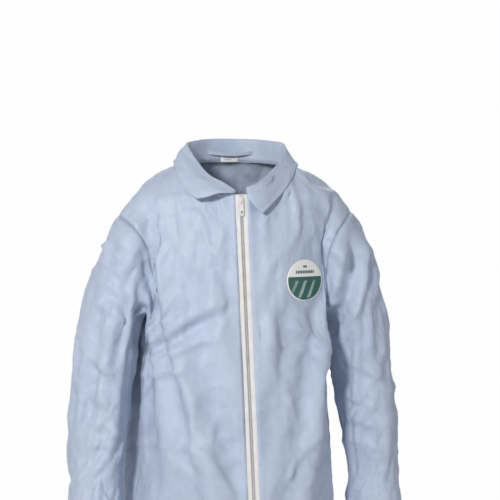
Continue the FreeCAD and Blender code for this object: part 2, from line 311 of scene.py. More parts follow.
for row in range(TOP_ROW):
    for column in range(FRONT_COLUMNS):
        for side, panel in ((1, "left_front"), (-1, "right_front")):
            corners = [front_vertex(side, row, column), front_vertex(side, row, column + 1),
                       front_vertex(side, row + 1, column + 1), front_vertex(side, row + 1, column)]
            add_face(panel, corners if side > 0 else corners[::-1])
    for column in range(2 * FRONT_COLUMNS):
        add_face("back", [back_vertex(row, column), back_vertex(row, column + 1),
                          back_vertex(row + 1, column + 1), back_vertex(row + 1, column)])

# %% [markdown]
# ### The sleeves
#
# A sleeve is a tube sewn round the armhole. Its rows start as the armhole's own loop, fan out
# over the sleeve head, where the outer side is longer than the inner one, and then follow the arm.

# %% Sew the sleeves on
ARM_LINE = [
    # across, depth, height, half across, half deep: from the armhole to the wrist
    (0.196, 0.010, -0.205, 0.066, 0.078),
    (0.218, 0.012, -0.262, 0.063, 0.072),
    (0.237, 0.016, -0.390, 0.058, 0.063),
    (0.246, 0.002, -0.505, 0.054, 0.058),
    (WRIST[1].x, WRIST[1].y, WRIST[1].z, 0.050, 0.053),
]


def arm_at(share):
    """Middle and half sizes of the sleeve at a share of its line from armhole to wrist."""
    middle = curve([row[:3] for row in ARM_LINE], share)
    ahead = curve([row[:3] for row in ARM_LINE], min(share + 0.03, 1))
    behind = curve([row[:3] for row in ARM_LINE], max(share - 0.03, 0))
    down = (ahead - behind).normalized()
    across = float(np.interp(share, np.linspace(0, 1, len(ARM_LINE)), [r[3] for r in ARM_LINE]))
    deep = float(np.interp(share, np.linspace(0, 1, len(ARM_LINE)), [r[4] for r in ARM_LINE]))
    return middle, down, across, deep


def raised(point, share):
    """An arm point turned out from the shoulder, with the sleeve's spare length added."""
    turn = Matrix.Rotation(-RAISE, 4, "Y")
    offset = (point - SHOULDER_PIVOT) * (1 + (SLEEVE_SLACK - 1) * share)
    return SHOULDER_PIVOT + turn @ offset


def sleeve_ring(share, count, up):
    """One ring of a left sleeve, from the inner side round by the front. up: arm raised or not."""
    middle, down, across, deep = arm_at(share)
    outward = Vector((-down.z, 0, down.x)).normalized()
    forward = down.cross(outward).normalized()
    if forward.y > 0:
        forward = -forward
    ring = []
    for k in range(count):
        turn = 2 * math.pi * k / count
        point = middle - outward * across * math.cos(turn) + forward * deep * math.sin(turn)
        ring.append(raised(point, share) if up else point)
    return ring


def armhole_loop(side):
    """The vertices round one armhole, from the armpit up the front and down the back."""
    far = 0 if side > 0 else 2 * FRONT_COLUMNS
    loop = [front_vertex(side, DOWN_ROWS + i, FRONT_COLUMNS) for i in range(UP_ROWS + 1)]
    return loop + [back_vertex(TOP_ROW - i, far) for i in range(1, UP_ROWS)]


CAP_SHARE = 0.17
sleeve_rows = {}
for side, panel in ((1, "left_sleeve"), (-1, "right_sleeve")):
    loop = armhole_loop(side)
    count = len(loop)
    rows = [loop]
    first = sleeve_ring(CAP_SHARE, count, True)
    for row in range(1, SLEEVE_ROWS + 1):
        made = []
        if row <= CAP_ROWS:
            part = row / CAP_ROWS
            for k in range(count):
                start = mirrored(coat_points[loop[k]], side)
                swell = math.sin(math.pi * part) * 0.012 * (1 - math.cos(2 * math.pi * k / count)) / 2
                point = start.lerp(first[k], part) + Vector((0.6, 0, 0.8)) * swell
                made.append(mirrored(point, side))
        else:
            share = CAP_SHARE + (1 - CAP_SHARE) * (row - CAP_ROWS) / (SLEEVE_ROWS - CAP_ROWS)
            made = [mirrored(point, side) for point in sleeve_ring(share, count, True)]
        names = []
        for k, point in enumerate(made):
            names.append(vertex(("sleeve", side, row, k), lambda p=point: p))
        rows.append(names)
    sleeve_rows[side] = rows
    for a, b in zip(rows, rows[1:]):
        for k in range(count):
            corners = [a[k], a[(k + 1) % count], b[(k + 1) % count], b[k]]
            add_face(panel, corners[::-1] if side > 0 else corners)

coat_mesh = bpy.data.meshes.new("coat_shell")
coat_mesh.from_pydata(coat_points, [], coat_faces)
coat = bpy.data.objects.new("coat_shell", coat_mesh)
bpy.context.scene.collection.objects.link(coat)
print("sewn shell:", len(coat_points), "points,", len(coat_faces), "faces")

# %% [markdown]
# ## The drape
#
# A plain body stands inside the shell, only for the cloth to hang on: a trunk and two arms, which
# turn down from the shoulder while the cloth follows. The collar seam, the front edges along the
# zip and the wrists are held; all the rest falls and folds by itself.

# %% The body that the cloth hangs on
BODY = [
    # height, half width, front, back
    (0.016, 0.060, -0.024, 0.045),
    (-0.004, 0.090, -0.042, 0.060),
    (-0.018, 0.122, -0.056, 0.070),
    (-0.036, 0.152, -0.066, 0.080),
    (-0.064, 0.178, -0.078, 0.092),
    (-0.110, 0.176, -0.092, 0.104),
    (-0.200, 0.150, -0.100, 0.112),
    (-0.300, 0.142, -0.106, 0.106),
    (-0.400, 0.144, -0.114, 0.098),
    (-0.500, 0.152, -0.122, 0.104),
    (-0.610, 0.166, -0.130, 0.122),
    (-0.700, 0.170, -0.132, 0.128),
    (-0.850, 0.166, -0.120, 0.116),
    (-1.090, 0.150, -0.095, 0.090),
]
DELTOID = Vector((0.176, 0.009, -0.132))
DELTOID_HALF = (0.058, 0.068, 0.074)


def tube_object(name, rings):
    """A closed tube through rings of points."""
    count = len(rings[0])
    points = [tuple(p) for ring in rings for p in ring]
    faces = []
    for i in range(len(rings) - 1):
        for k in range(count):
            a, b = i * count + k, i * count + (k + 1) % count
            faces.append((a, b, b + count, a + count))
    faces.append(tuple(range(count))[::-1])
    faces.append(tuple(range(len(points) - count, len(points))))
    mesh = bpy.data.meshes.new(name)
    mesh.from_pydata(points, [], faces)
    made = bpy.data.objects.new(name, mesh)
    bpy.context.scene.collection.objects.link(made)
    solid = bmesh.new()
    solid.from_mesh(mesh)
    bmesh.ops.recalc_face_normals(solid, faces=solid.faces)
    solid.to_mesh(mesh)
    solid.free()
    return made


def body_ring(row, count=40):
    z, wide, front, back = row
    middle, deep = (front + back) / 2, (back - front) / 2
    turns = [2 * math.pi * k / count for k in range(count)]
    return [(wide * math.sin(t), middle - deep * math.cos(t), z) for t in turns]


def make_collider(thing, thickness, friction):
    thing.modifiers.new("collide", "COLLISION")
    thing.collision.thickness_outer = thickness
    thing.collision.thickness_inner = 0.02
    thing.collision.cloth_friction = friction
    thing.hide_render = True


ARM_LOWERED_AT = 34
LAST_FRAME = 62
trunk_body = tube_object("trunk_body", [body_ring(row) for row in BODY[::-1]])
make_collider(trunk_body, 0.003, 8)
arm_bodies = []
for side in (1, -1):
    rings = []
    for share, slim in ((-0.12, 0.040), (-0.06, 0.024), (0.0, 0.018), (0.12, 0.016), (0.30, 0.015),
                        (0.5, 0.013), (0.62, 0.014), (0.80, 0.016), (1.0, 0.016), (1.12, 0.018)):
        inside = min(max(share, 0.0), 1.0)
        middle, down, across, deep = arm_at(inside)
        middle = middle + down * 0.45 * (share - inside)
        across, deep = across - slim, deep - slim - 0.002
        outward = Vector((-down.z, 0, down.x)).normalized()
        forward = down.cross(outward).normalized()
        ring = []
        for k in range(20):
            turn = 2 * math.pi * k / 20
            point = middle + outward * across * math.cos(turn) + forward * deep * math.sin(turn)
            ring.append(mirrored(point - SHOULDER_PIVOT, side))
        rings.append(ring)
    arm = tube_object("arm_body", rings)
    arm.location = mirrored(SHOULDER_PIVOT, side)
    arm.rotation_euler = (0, -side * RAISE, 0)
    arm.keyframe_insert("rotation_euler", frame=1)
    arm.rotation_euler = (0, 0, 0)
    arm.keyframe_insert("rotation_euler", frame=ARM_LOWERED_AT)
    make_collider(arm, 0.003, 6)
    arm_bodies.append(arm)
    caps = [math.pi * (i + 0.5) / 12 for i in range(12)]
    rings = []
    for cap in caps:
        wide, deep, tall = DELTOID_HALF
        turns = [2 * math.pi * k / 24 for k in range(24)]
        rings.append([mirrored(DELTOID + Vector((wide * math.sin(cap) * math.cos(t),
                                                 deep * math.sin(cap) * math.sin(t),
                                                 tall * math.cos(cap))), side) for t in turns])
    deltoid = tube_object("deltoid_body", rings)
    make_collider(deltoid, 0.003, 8)
    arm_bodies.append(deltoid)

# %% Drape the shell
held = coat.vertex_groups.new(name="held")
held_points = set()
for column in range(NECK_COLUMNS + 1):
    held_points.add(front_vertex(1, TOP_ROW, column))
    held_points.add(front_vertex(-1, TOP_ROW, column))
for column in range(SHOULDER_COLUMNS, 2 * FRONT_COLUMNS - SHOULDER_COLUMNS + 1):
    held_points.add(back_vertex(TOP_ROW, column))
zip_foot_z = ZIP_TOP.z + ZIP_DOWN.z * ZIP_LENGTH
for row in range(TOP_ROW + 1):
    for side in (1, -1):
        number = front_vertex(side, row, 0)
        if coat_points[number].z > zip_foot_z:
            held_points.add(number)
for side in (1, -1):
    held_points.update(sleeve_rows[side][-1])
held.add(sorted(held_points), 1.0, "REPLACE")

coat.shape_key_add(name="Basis")
lowered = coat.shape_key_add(name="arms_lowered")
for side in (1, -1):
    wrist = sleeve_rows[side][-1]
    for number, point in zip(wrist, sleeve_ring(1.0, len(wrist), False)):
        lowered.data[number].co = mirrored(point, side)
lowered.value = 0
lowered.keyframe_insert("value", frame=1)
lowered.value = 1
lowered.keyframe_insert("value", frame=ARM_LOWERED_AT)

cloth = coat.modifiers.new("cloth", "CLOTH")
cloth.settings.quality = 7
cloth.settings.mass = 0.12
cloth.settings.air_damping = 1.5
cloth.settings.tension_stiffness = 50
cloth.settings.compression_stiffness = 50
cloth.settings.shear_stiffness = 20
cloth.settings.bending_stiffness = 14
cloth.settings.tension_damping = 8
cloth.settings.compression_damping = 8
cloth.settings.shear_damping = 8
cloth.settings.bending_damping = 1
cloth.settings.vertex_group_mass = "held"
cloth.collision_settings.collision_quality = 3
cloth.collision_settings.distance_min = 0.003
cloth.collision_settings.use_self_collision = True
cloth.collision_settings.self_distance_min = 0.004
cloth.point_cache.frame_start = 1
cloth.point_cache.frame_end = LAST_FRAME
scene = bpy.context.scene
scene.frame_start, scene.frame_end = 1, LAST_FRAME
for number in range(1, LAST_FRAME + 1):
    scene.frame_set(number)
settled = coat.evaluated_get(bpy.context.evaluated_depsgraph_get())
drape = [vertex_.co.copy() for vertex_ in settled.data.vertices]
print("draped", len(drape))

# %% [markdown]
# ## From drape to coat
#
# The body and the simulation are cleared away and only the settled points are kept. The shoulder
# is the one place where a worn coat is pulled smooth by its own weight, so the cloth round each
# shoulder tip is laid as the smoothest surface that joins the yoke to the sleeve.

# %% Keep the settled cloth
for thing in [trunk_body, *arm_bodies]:
    bpy.data.objects.remove(thing, do_unlink=True)
bpy.data.objects.remove(coat, do_unlink=True)
scene.frame_set(1)
sewn = np.array([tuple(p) for p in coat_points])
worn = np.array([tuple(p) for p in drape])
held_list = sorted(held_points)
worn[held_list] = np.array([tuple(drape[n]) for n in held_list])

neighbours = [set() for _ in coat_points]
for corners in coat_faces:
    for a, b in zip(corners, corners[1:] + corners[:1]):
        neighbours[a].add(b)
        neighbours[b].add(a)


def smooth_patch(points, chosen):
    """Lays the chosen points as the smoothest surface that meets the others in place and slope."""
    chosen = sorted(chosen)
    ring = set(chosen)
    for number in chosen:
        ring |= neighbours[number]
    ring = sorted(ring)
    place = {number: i for i, number in enumerate(chosen)}
    rows = np.zeros((len(ring), len(chosen)))
    fixed = np.zeros((len(ring), 3))
    for i, number in enumerate(ring):
        around = neighbours[number]
        share = 1 / len(around)
        for other, weight in [(number, 1.0)] + [(n, -share) for n in around]:
            if other in place:
                rows[i, place[other]] += weight
            else:
                fixed[i] -= weight * points[other]
    points[chosen] = np.linalg.lstsq(rows, fixed, rcond=None)[0]


def relax(points, chosen, rounds, amount):
    """Evens the chosen points out a little at a time."""
    chosen = sorted(chosen)
    around = [sorted(neighbours[n]) for n in chosen]
    for _ in range(rounds):
        means = np.array([points[a].mean(axis=0) for a in around])
        points[chosen] += (means - points[chosen]) * amount


SHOULDER_CENTRE = np.array((0.200, 0.010, -0.092))
SHOULDER_HALF = np.array((0.075, 0.095, 0.082))
for side in (1, -1):
    centre = SHOULDER_CENTRE * (side, 1, 1)
    away = np.linalg.norm((worn - centre) / SHOULDER_HALF, axis=1)
    chosen = [n for n in np.flatnonzero(away < 1) if n not in held_points]
    smooth_patch(worn, chosen)
    print("shoulder points laid smooth:", len(chosen))
WIDER_SHOULDER = np.array((0.192, 0.010, -0.068))
wider = np.exp(-(np.linalg.norm((worn - WIDER_SHOULDER) / (1, 1.5, 1), axis=1) / 0.062) ** 2)
wider[held_list] = 0
worn += wider[:, None] * np.array((0.0165, 0.0, 0.0115))
loose = [n for n in range(len(worn)) if n not in held_points]
relax(worn, loose, 2, 0.5)

# %% [markdown]
# ### A finer mesh
#
# The shell is divided once so that creases can be pressed into it. The flat places of every point
# go along with it: `sewn` is where the point lay before the arms came down, which gives the paper-like
# crumples a pattern that belongs to the cloth, and the UV map is measured in metres of cloth.

# %% Divide the shell
flat_uv = []
for row in range(TOP_ROW):
    for column in range(FRONT_COLUMNS):
        spots = [(column, row), (column + 1, row), (column + 1, row + 1), (column, row + 1)]
        flat_uv.append(spots)
        flat_uv.append([(-u, v) for u, v in spots[::-1]])
    for column in range(2 * FRONT_COLUMNS):
        flat_uv.append([(column, row), (column + 1, row), (column + 1, row + 1), (column, row + 1)])
for side in (1, -1):
    for row in range(SLEEVE_ROWS):
        for k in range(len(sleeve_rows[side][0])):
            spots = [(k, row), (k + 1, row), (k + 1, row + 1), (k, row + 1)]
            flat_uv.append(spots[::-1] if side > 0 else spots)


def divided(points):
    """The shell's mesh with every face split in four and rounded."""
    mesh = bpy.data.meshes.new("coat_shell")
    mesh.from_pydata([tuple(p) for p in points], [], coat_faces)
    mesh.polygons.foreach_set("material_index", coat_panels)
    layer = mesh.uv_layers.new(name="cloth")
    spots = [value * SPACING for face in flat_uv for spot in face for value in spot]
    layer.data.foreach_set("uv", spots)
    thing = bpy.data.objects.new("coat_shell", mesh)
    scene.collection.objects.link(thing)
    split = thing.modifiers.new("divide", "SUBSURF")
    split.levels = split.render_levels = 1
    split.boundary_smooth = "PRESERVE_CORNERS"
    bpy.ops.object.select_all(action="DESELECT")
    thing.select_set(True)
    bpy.context.view_layer.objects.active = thing
    bpy.ops.object.modifier_apply(modifier=split.name)
    return thing


def mesh_points(mesh):
    flat = np.empty(len(mesh.vertices) * 3)
    mesh.vertices.foreach_get("co", flat)
    return flat.reshape(-1, 3)


def mesh_normals(mesh):
    flat = np.empty(len(mesh.vertices) * 3)
    mesh.vertices.foreach_get("normal", flat)
    return flat.reshape(-1, 3)


pattern = divided(sewn)
flat_places = mesh_points(pattern.data)
bpy.data.objects.remove(pattern, do_unlink=True)
shell = divided(worn)
cloth_points = mesh_points(shell.data)
print("divided shell:", len(cloth_points), "points")

# %% [markdown]
# ### Edges and seams
#
# Each point learns how far it is from the nearest sewn seam, hem and front edge. The distances
# shape the small valley along each seam here and place the stitch lines in the cloth's material.

# %% Measure to the seams, hems and front edges
edge_faces = {}
for polygon in shell.data.polygons:
    for key in polygon.edge_keys:
        edge_faces.setdefault(key, []).append(polygon.material_index)
seam_points, hem_points, front_points, neck_points = set(), set(), set(), set()
for (a, b), panels in edge_faces.items():
    if len(panels) == 2:
        if panels[0] != panels[1]:
            seam_points.update((a, b))
        continue
    middle = (flat_places[a] + flat_places[b]) / 2
    along = flat_places[b] - flat_places[a]
    panel = PANELS[panels[0]]
    if "sleeve" in panel or middle[2] < HEM_Z + 0.001:
        hem_points.update((a, b))
    elif "front" in panel and abs(middle[0] - zip_point(middle[2]).x) < EDGE + 0.002:
        front_points.update((a, b))
    else:
        neck_points.update((a, b))


def distances(places, marked):
    """How far each place is from the nearest marked point."""
    marked = sorted(marked)
    tree = KDTree(len(marked))
    for i, number in enumerate(marked):
        tree.insert(places[number], i)
    tree.balance()
    return np.array([tree.find(p)[2] for p in places])


to_seam = distances(cloth_points, seam_points)
to_hem = distances(cloth_points, hem_points)
to_front = distances(cloth_points, front_points)
to_neck = distances(cloth_points, neck_points)
to_held = np.minimum(to_front, to_neck)
for name, values in (("seam_m", to_seam), ("hem_m", to_hem), ("front_m", to_front),
                     ("neck_m", to_neck)):
    attribute = shell.data.attributes.new(name, "FLOAT", "POINT")
    attribute.data.foreach_set("value", values.astype(np.float32))
print("points on seams", len(seam_points), "hems", len(hem_points), "front edges", len(front_points))

# %% [markdown]
# ### Folds and crumples
#
# Nonwoven cloth is closer to paper than to woven cotton: it breaks into broad facets with crisp
# creases. The large folds that the arms drag into the sleeve heads and the chest are pressed one
# by one along drawn lines, and the fine crumples come from ridged noise laid on the flat cloth.

# %% Press the folds
FOLDS = [
    # line across the front as (x, z), height, width, steep side: 1 above the line, -1 below it
    ([(-0.172, -0.236), (-0.175, -0.286), (-0.181, -0.336)], -0.0132, 0.010, 0),
    ([(-0.178, -0.346), (-0.118, -0.298), (-0.058, -0.266), (-0.010, -0.248)], -0.0072, 0.009, 0),
    ([(-0.178, -0.334), (-0.120, -0.283), (-0.060, -0.247), (-0.008, -0.226)], 0.0138, 0.013, -1),
    ([(-0.176, -0.318), (-0.140, -0.276), (-0.108, -0.252), (-0.080, -0.240)], 0.0078, 0.010, -1),
    ([(-0.180, -0.352), (-0.130, -0.326), (-0.080, -0.306), (-0.034, -0.296)], 0.0094, 0.011, -1),
    ([(-0.176, -0.376), (-0.140, -0.362), (-0.096, -0.350)], 0.0071, 0.010, -1),
    ([(-0.252, -0.160), (-0.214, -0.188), (-0.182, -0.220)], 0.0133, 0.008, -1),
    ([(-0.246, -0.136), (-0.212, -0.160), (-0.180, -0.188)], 0.0109, 0.008, -1),
    ([(-0.232, -0.112), (-0.206, -0.136), (-0.180, -0.166)], 0.0086, 0.008, -1),
    ([(-0.252, -0.196), (-0.220, -0.218), (-0.188, -0.252)], 0.0094, 0.009, -1),
    ([(-0.258, -0.236), (-0.228, -0.254), (-0.194, -0.286)], 0.0078, 0.009, -1),
    ([(-0.160, -0.066), (-0.166, -0.130), (-0.166, -0.235)], -0.0078, 0.009, 0),
    ([(-0.146, -0.080), (-0.148, -0.140), (-0.146, -0.235)], 0.0078, 0.009, -1),
    ([(-0.052, -0.050), (-0.104, -0.060), (-0.160, -0.068)], 0.0053, 0.009, -1),
    ([(-0.066, -0.078), (-0.115, -0.092), (-0.152, -0.106)], 0.0046, 0.009, -1),
    ([(0.198, -0.118), (0.200, -0.189), (0.184, -0.257), (0.166, -0.324)], -0.0164, 0.010, 0),
    ([(0.222, -0.126), (0.220, -0.195), (0.206, -0.262), (0.188, -0.322)], 0.0116, 0.010, 1),
    ([(0.172, -0.130), (0.174, -0.176), (0.164, -0.230), (0.150, -0.280)], 0.0101, 0.010, -1),
    ([(0.146, -0.132), (0.162, -0.156), (0.180, -0.176)], 0.0094, 0.009, -1),
    ([(0.244, -0.130), (0.246, -0.196), (0.232, -0.270)], 0.0071, 0.011, 1),
    ([(0.052, -0.052), (0.105, -0.056), (0.160, -0.070)], 0.0053, 0.009, -1),
    ([(0.066, -0.080), (0.110, -0.088), (0.156, -0.098)], 0.0046, 0.009, -1),
    ([(0.060, -0.272), (0.112, -0.302), (0.168, -0.346)], 0.0101, 0.011, -1),
    ([(0.080, -0.312), (0.124, -0.336), (0.170, -0.372)], 0.0078, 0.011, -1),
    ([(0.040, -0.250), (0.046, -0.300), (0.062, -0.352)], 0.0053, 0.010, 1),
    ([(-0.268, -0.398), (-0.236, -0.412), (-0.204, -0.440)], 0.0064, 0.012, -1),
    ([(-0.270, -0.446), (-0.238, -0.450), (-0.206, -0.470)], 0.0054, 0.012, -1),
    ([(-0.268, -0.486), (-0.238, -0.482), (-0.210, -0.492)], 0.0045, 0.012, -1),
    ([(-0.262, -0.330), (-0.240, -0.352), (-0.206, -0.372)], 0.0071, 0.010, -1),
    ([(0.184, -0.408), (0.220, -0.420), (0.268, -0.452)], 0.0064, 0.012, -1),
    ([(0.186, -0.446), (0.222, -0.456), (0.272, -0.486)], 0.0054, 0.012, -1),
    ([(0.192, -0.486), (0.226, -0.494), (0.270, -0.516)], 0.0045, 0.012, -1),
    ([(0.196, -0.352), (0.228, -0.366), (0.262, -0.392)], 0.0071, 0.010, -1),
    ([(-0.150, -0.436), (-0.078, -0.494), (0.002, -0.600)], 0.0086, 0.012, 1),
    ([(-0.156, -0.480), (-0.096, -0.530), (-0.030, -0.616)], 0.0053, 0.012, 1),
    ([(0.050, -0.560), (0.096, -0.496), (0.156, -0.446)], 0.0071, 0.012, -1),
    ([(-0.040, -0.150), (-0.046, -0.210), (-0.040, -0.290)], 0.0040, 0.010, 1),
]
CREASES = [
    # sharp lines that stay from the coat's packing: line as (x, z), depth, width
    ([(-0.022, -0.100), (-0.021, -0.300), (-0.015, -0.600), (-0.010, -0.900)], 0.0019, 0.0055),
    ([(0.052, -0.140), (0.056, -0.300), (0.062, -0.600), (0.068, -0.950)], -0.0017, 0.0060),
    ([(-0.108, -0.200), (-0.110, -0.400), (-0.116, -0.700), (-0.124, -0.980)], 0.0017, 0.0060),
    ([(-0.190, -0.486), (-0.060, -0.484), (0.080, -0.486), (0.185, -0.488)], 0.0024, 0.0060),
    ([(-0.190, -0.766), (-0.060, -0.764), (0.080, -0.766), (0.200, -0.768)], -0.0020, 0.0060),
]


def line_distance(across, up, line):
    """Distance to a line of points, above it positive, and the share of the line's length there."""
    line = np.array(line)
    lengths = np.hypot(*(line[1:] - line[:-1]).T)
    starts = np.concatenate([[0], np.cumsum(lengths)])
    best = np.full(len(across), 9.0)
    share = np.zeros(len(across))
    hand = np.ones(len(across))
    for i in range(len(line) - 1):
        run = line[i + 1] - line[i]
        right, rise = across - line[i][0], up - line[i][1]
        t = np.clip((right * run[0] + rise * run[1]) / lengths[i] ** 2, 0, 1)
        away = np.hypot(right - run[0] * t, rise - run[1] * t)
        nearer = away < best
        best = np.where(nearer, away, best)
        share = np.where(nearer, (starts[i] + t * lengths[i]) / starts[-1], share)
        hand = np.where(nearer, np.sign(run[0] * rise - run[1] * right), hand)
    return best * hand, share


def step(value, low, high):
    """0 below low, 1 above high and a soft rise between."""
    t = np.clip((value - low) / (high - low), 0, 1)
    return t * t * (3 - 2 * t)


normals = mesh_normals(shell.data)
facing = step(-normals[:, 1], 0.05, 0.45)
lift = np.zeros(len(cloth_points))
for line, height, width, steep in FOLDS:
    away, share = line_distance(cloth_points[:, 0], cloth_points[:, 2], line)
    spread = 2.2 * width * (1 - 0.55 * steep * np.sign(away))
    tent = np.clip(1 - np.abs(away) / spread, 0, 1) ** 1.4
    lift += height * tent * step(share, -0.02, 0.22) * step(1 - share, -0.02, 0.35)
for line, height, width in CREASES:
    away, share = line_distance(cloth_points[:, 0], cloth_points[:, 2], line)
    lift += height * np.clip(1 - np.abs(away) / width, 0, 1) * step(share, 0, 0.06) * step(1 - share, 0, 0.06)
lift *= facing * step(to_held, 0.002, 0.030)

# %% Crumple the cloth
random.seed(7)


def crumples(places, size, stretch, seed):
    """Crisp ridges between soft hollows, from 0 to 1."""
    shift = Vector((seed * 13.7, seed * 5.3, seed * 9.1))
    values = np.empty(len(places))
    for i, place in enumerate(places):
        spot = Vector((place[0] / size, place[1] / size, place[2] / (size * stretch))) + shift
        bend = noise.noise_vector(spot * 0.6) * 0.7
        values[i] = 1 - abs(noise.noise(spot + bend)) * 2.2
    return np.clip(values, 0, 1)


crumple = 0.0030 * (crumples(flat_places, 0.150, 1.3, 4) ** 2 - 0.30)
crumple += 0.0042 * (crumples(flat_places, 0.085, 1.5, 1) ** 2 - 0.30)
crumple += 0.0019 * (crumples(flat_places, 0.045, 1.3, 2) ** 2 - 0.30)
crumple += 0.0006 * (crumples(flat_places, 0.022, 1.0, 3) ** 2 - 0.30)
lift += crumple * step(to_held, 0.0, 0.030) * (0.35 + 0.65 * step(to_seam, 0.0, 0.02))
lift -= 0.0012 * np.exp(-(to_seam / 0.0035) ** 2) * step(to_held, 0.001, 0.010)
lift += 0.0016 * np.exp(-(to_front / 0.012) ** 2)
cloth_points = cloth_points + normals * lift[:, None]
print("largest fold", round(float(np.abs(lift).max()) * 1000, 1), "mm")

# %% [markdown]
# ### A flat place for the badge
#
# The chest badge is a stiff film, so the cloth under it lies as smoothly as the film does. A gentle
# quadratic surface is fitted to the chest there, and the cloth is laid on it.

# %% Lay the cloth flat under the badge
badge_low, badge_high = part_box("chest_badge")
BADGE_CENTRE = (badge_low + badge_high) / 2
BADGE_RADIUS = (badge_high.z - badge_low.z) / 2


def quadratic(x, z):
    u, v = (x - BADGE_CENTRE.x) / BADGE_RADIUS, (z - BADGE_CENTRE.z) / BADGE_RADIUS
    return np.stack([np.ones_like(u), u, v, u * u, u * v, v * v], axis=-1)


from_badge = np.hypot(cloth_points[:, 0] - BADGE_CENTRE.x, cloth_points[:, 2] - BADGE_CENTRE.z)
chest = np.flatnonzero((from_badge < BADGE_RADIUS + 0.022) & (cloth_points[:, 1] < -0.02))
fit = quadratic(cloth_points[chest, 0], cloth_points[chest, 2])
badge_fit = np.linalg.lstsq(fit, cloth_points[chest, 1], rcond=None)[0]
badge_fit[3:] = np.clip(badge_fit[3:], -0.0015, 0.0060)
flat_y = fit @ badge_fit
part = 1 - step(from_badge[chest], BADGE_RADIUS + 0.002, BADGE_RADIUS + 0.022)
cloth_points[chest, 1] += (flat_y - cloth_points[chest, 1]) * part
shell.data.vertices.foreach_set("co", cloth_points.ravel())
shell.data.update()
print("badge surface", np.round(badge_fit * 1000, 2), "mm")

# %% [markdown]
# ### Cut into panels
#
# The shell is parted along its seams into the five panels of the real coat. Each panel's free
# edges are turned in by a narrow hem, and then the panel is given the cloth's thickness.

# %% Cut the panels
CLOTH = 0.0005
HEM_TURN = 0.018
hem_flag = np.zeros(len(cloth_points), dtype=bool)
hem_flag[sorted(hem_points)] = True
hem_flag[sorted(front_points)] = True
shell_tree = BVHTree.FromPolygons([tuple(p) for p in cloth_points],
                                  [tuple(p.vertices) for p in shell.data.polygons])
flag = shell.data.attributes.new("turned", "INT", "POINT")
flag.data.foreach_set("value", hem_flag.astype(np.int32))


def turn_hems(mesh):
    """Folds each free edge of a panel inwards, as a narrow second layer."""
    work = bmesh.new()
    work.from_mesh(mesh)
    turned = work.verts.layers.int["turned"]
    uv = work.loops.layers.uv["cloth"]
    edges = [e for e in work.edges
             if e.is_boundary and e.verts[0][turned] and e.verts[1][turned]]
    inward = {}
    for e in edges:
        middle = (e.verts[0].co + e.verts[1].co) / 2
        run = (e.verts[1].co - e.verts[0].co).normalized()
        into = e.link_faces[0].calc_center_median() - middle
        into = (into - run * into.dot(run)).normalized()
        for v in e.verts:
            inward[v] = inward.get(v, Vector()) + into
    normal_of = {v: v.normal.copy() for v in inward}
    rows = [(0.0, {v: v for v in inward})]
    for depth, sink in ((0.0, 0.0009), (0.3, 0.0013), (1.0, 0.0013)):
        row = {}
        for v, into in inward.items():
            place = v.co + into.normalized() * HEM_TURN * depth
            if depth:
                place, normal, _, _ = shell_tree.find_nearest(place)
                place = place - normal * sink
            else:
                place = place - normal_of[v] * sink
            row[v] = work.verts.new(place, v)
        rows.append((depth, row))
    for e in edges:
        loop = e.link_loops[0]
        a, b = loop.vert, loop.link_loop_next.vert
        spot_a, spot_b = loop[uv].uv.copy(), loop.link_loop_next[uv].uv.copy()
        centre = Vector((0, 0))
        for corner in loop.face.loops:
            centre += corner[uv].uv / len(loop.face.loops)
        into = (centre - (spot_a + spot_b) / 2).normalized() * HEM_TURN
        for (near, before), (far, after) in zip(rows, rows[1:]):
            face = work.faces.new((before[b], before[a], after[a], after[b]))
            places = (spot_b + into * near, spot_a + into * near, spot_a + into * far,
                      spot_b + into * far)
            for corner, place in zip(face.loops, places):
                corner[uv].uv = place
    work.normal_update()
    work.to_mesh(mesh)
    work.free()


def cut_panel(number, name):
    """One panel of the coat, hemmed and with the cloth's thickness."""
    mesh = shell.data.copy()
    mesh.name = name
    thing = bpy.data.objects.new(name, mesh)
    scene.collection.objects.link(thing)
    work = bmesh.new()
    work.from_mesh(mesh)
    bmesh.ops.delete(work, geom=[f for f in work.faces if f.material_index != number],
                     context="FACES")
    for face in work.faces:
        face.material_index = 0
        face.smooth = True
    work.to_mesh(mesh)
    work.free()
    turn_hems(mesh)
    for polygon in mesh.polygons:
        polygon.use_smooth = True
    thicken(thing, CLOTH)
    return thing


def thicken(thing, thickness):
    """Gives a sheet its thickness, inwards from the modelled face."""
    skin = thing.modifiers.new("thickness", "SOLIDIFY")
    skin.thickness = thickness
    skin.offset = -1
    skin.use_quality_normals = True
    bpy.ops.object.select_all(action="DESELECT")
    thing.select_set(True)
    bpy.context.view_layer.objects.active = thing
    bpy.ops.object.modifier_apply(modifier=skin.name)


panels = {name: cut_panel(number, name + "_cloth") for number, name in enumerate(PANELS)}
bpy.data.objects.remove(shell, do_unlink=True)
for name, thing in panels.items():
    print(name, len(thing.data.polygons), "faces")

# %% [markdown]
# ## The collar
#
# A shirt collar is a short stand sewn to the neckline and a leaf that folds over it. It is two
# layers of cloth, so it is stiffer than the coat and holds a round fold. Its three long lines, the
# neckline, the fold and the outer edge, are drawn first; the cloth between them is filled in and
# then pushed off the shoulders wherever it would sink into them.

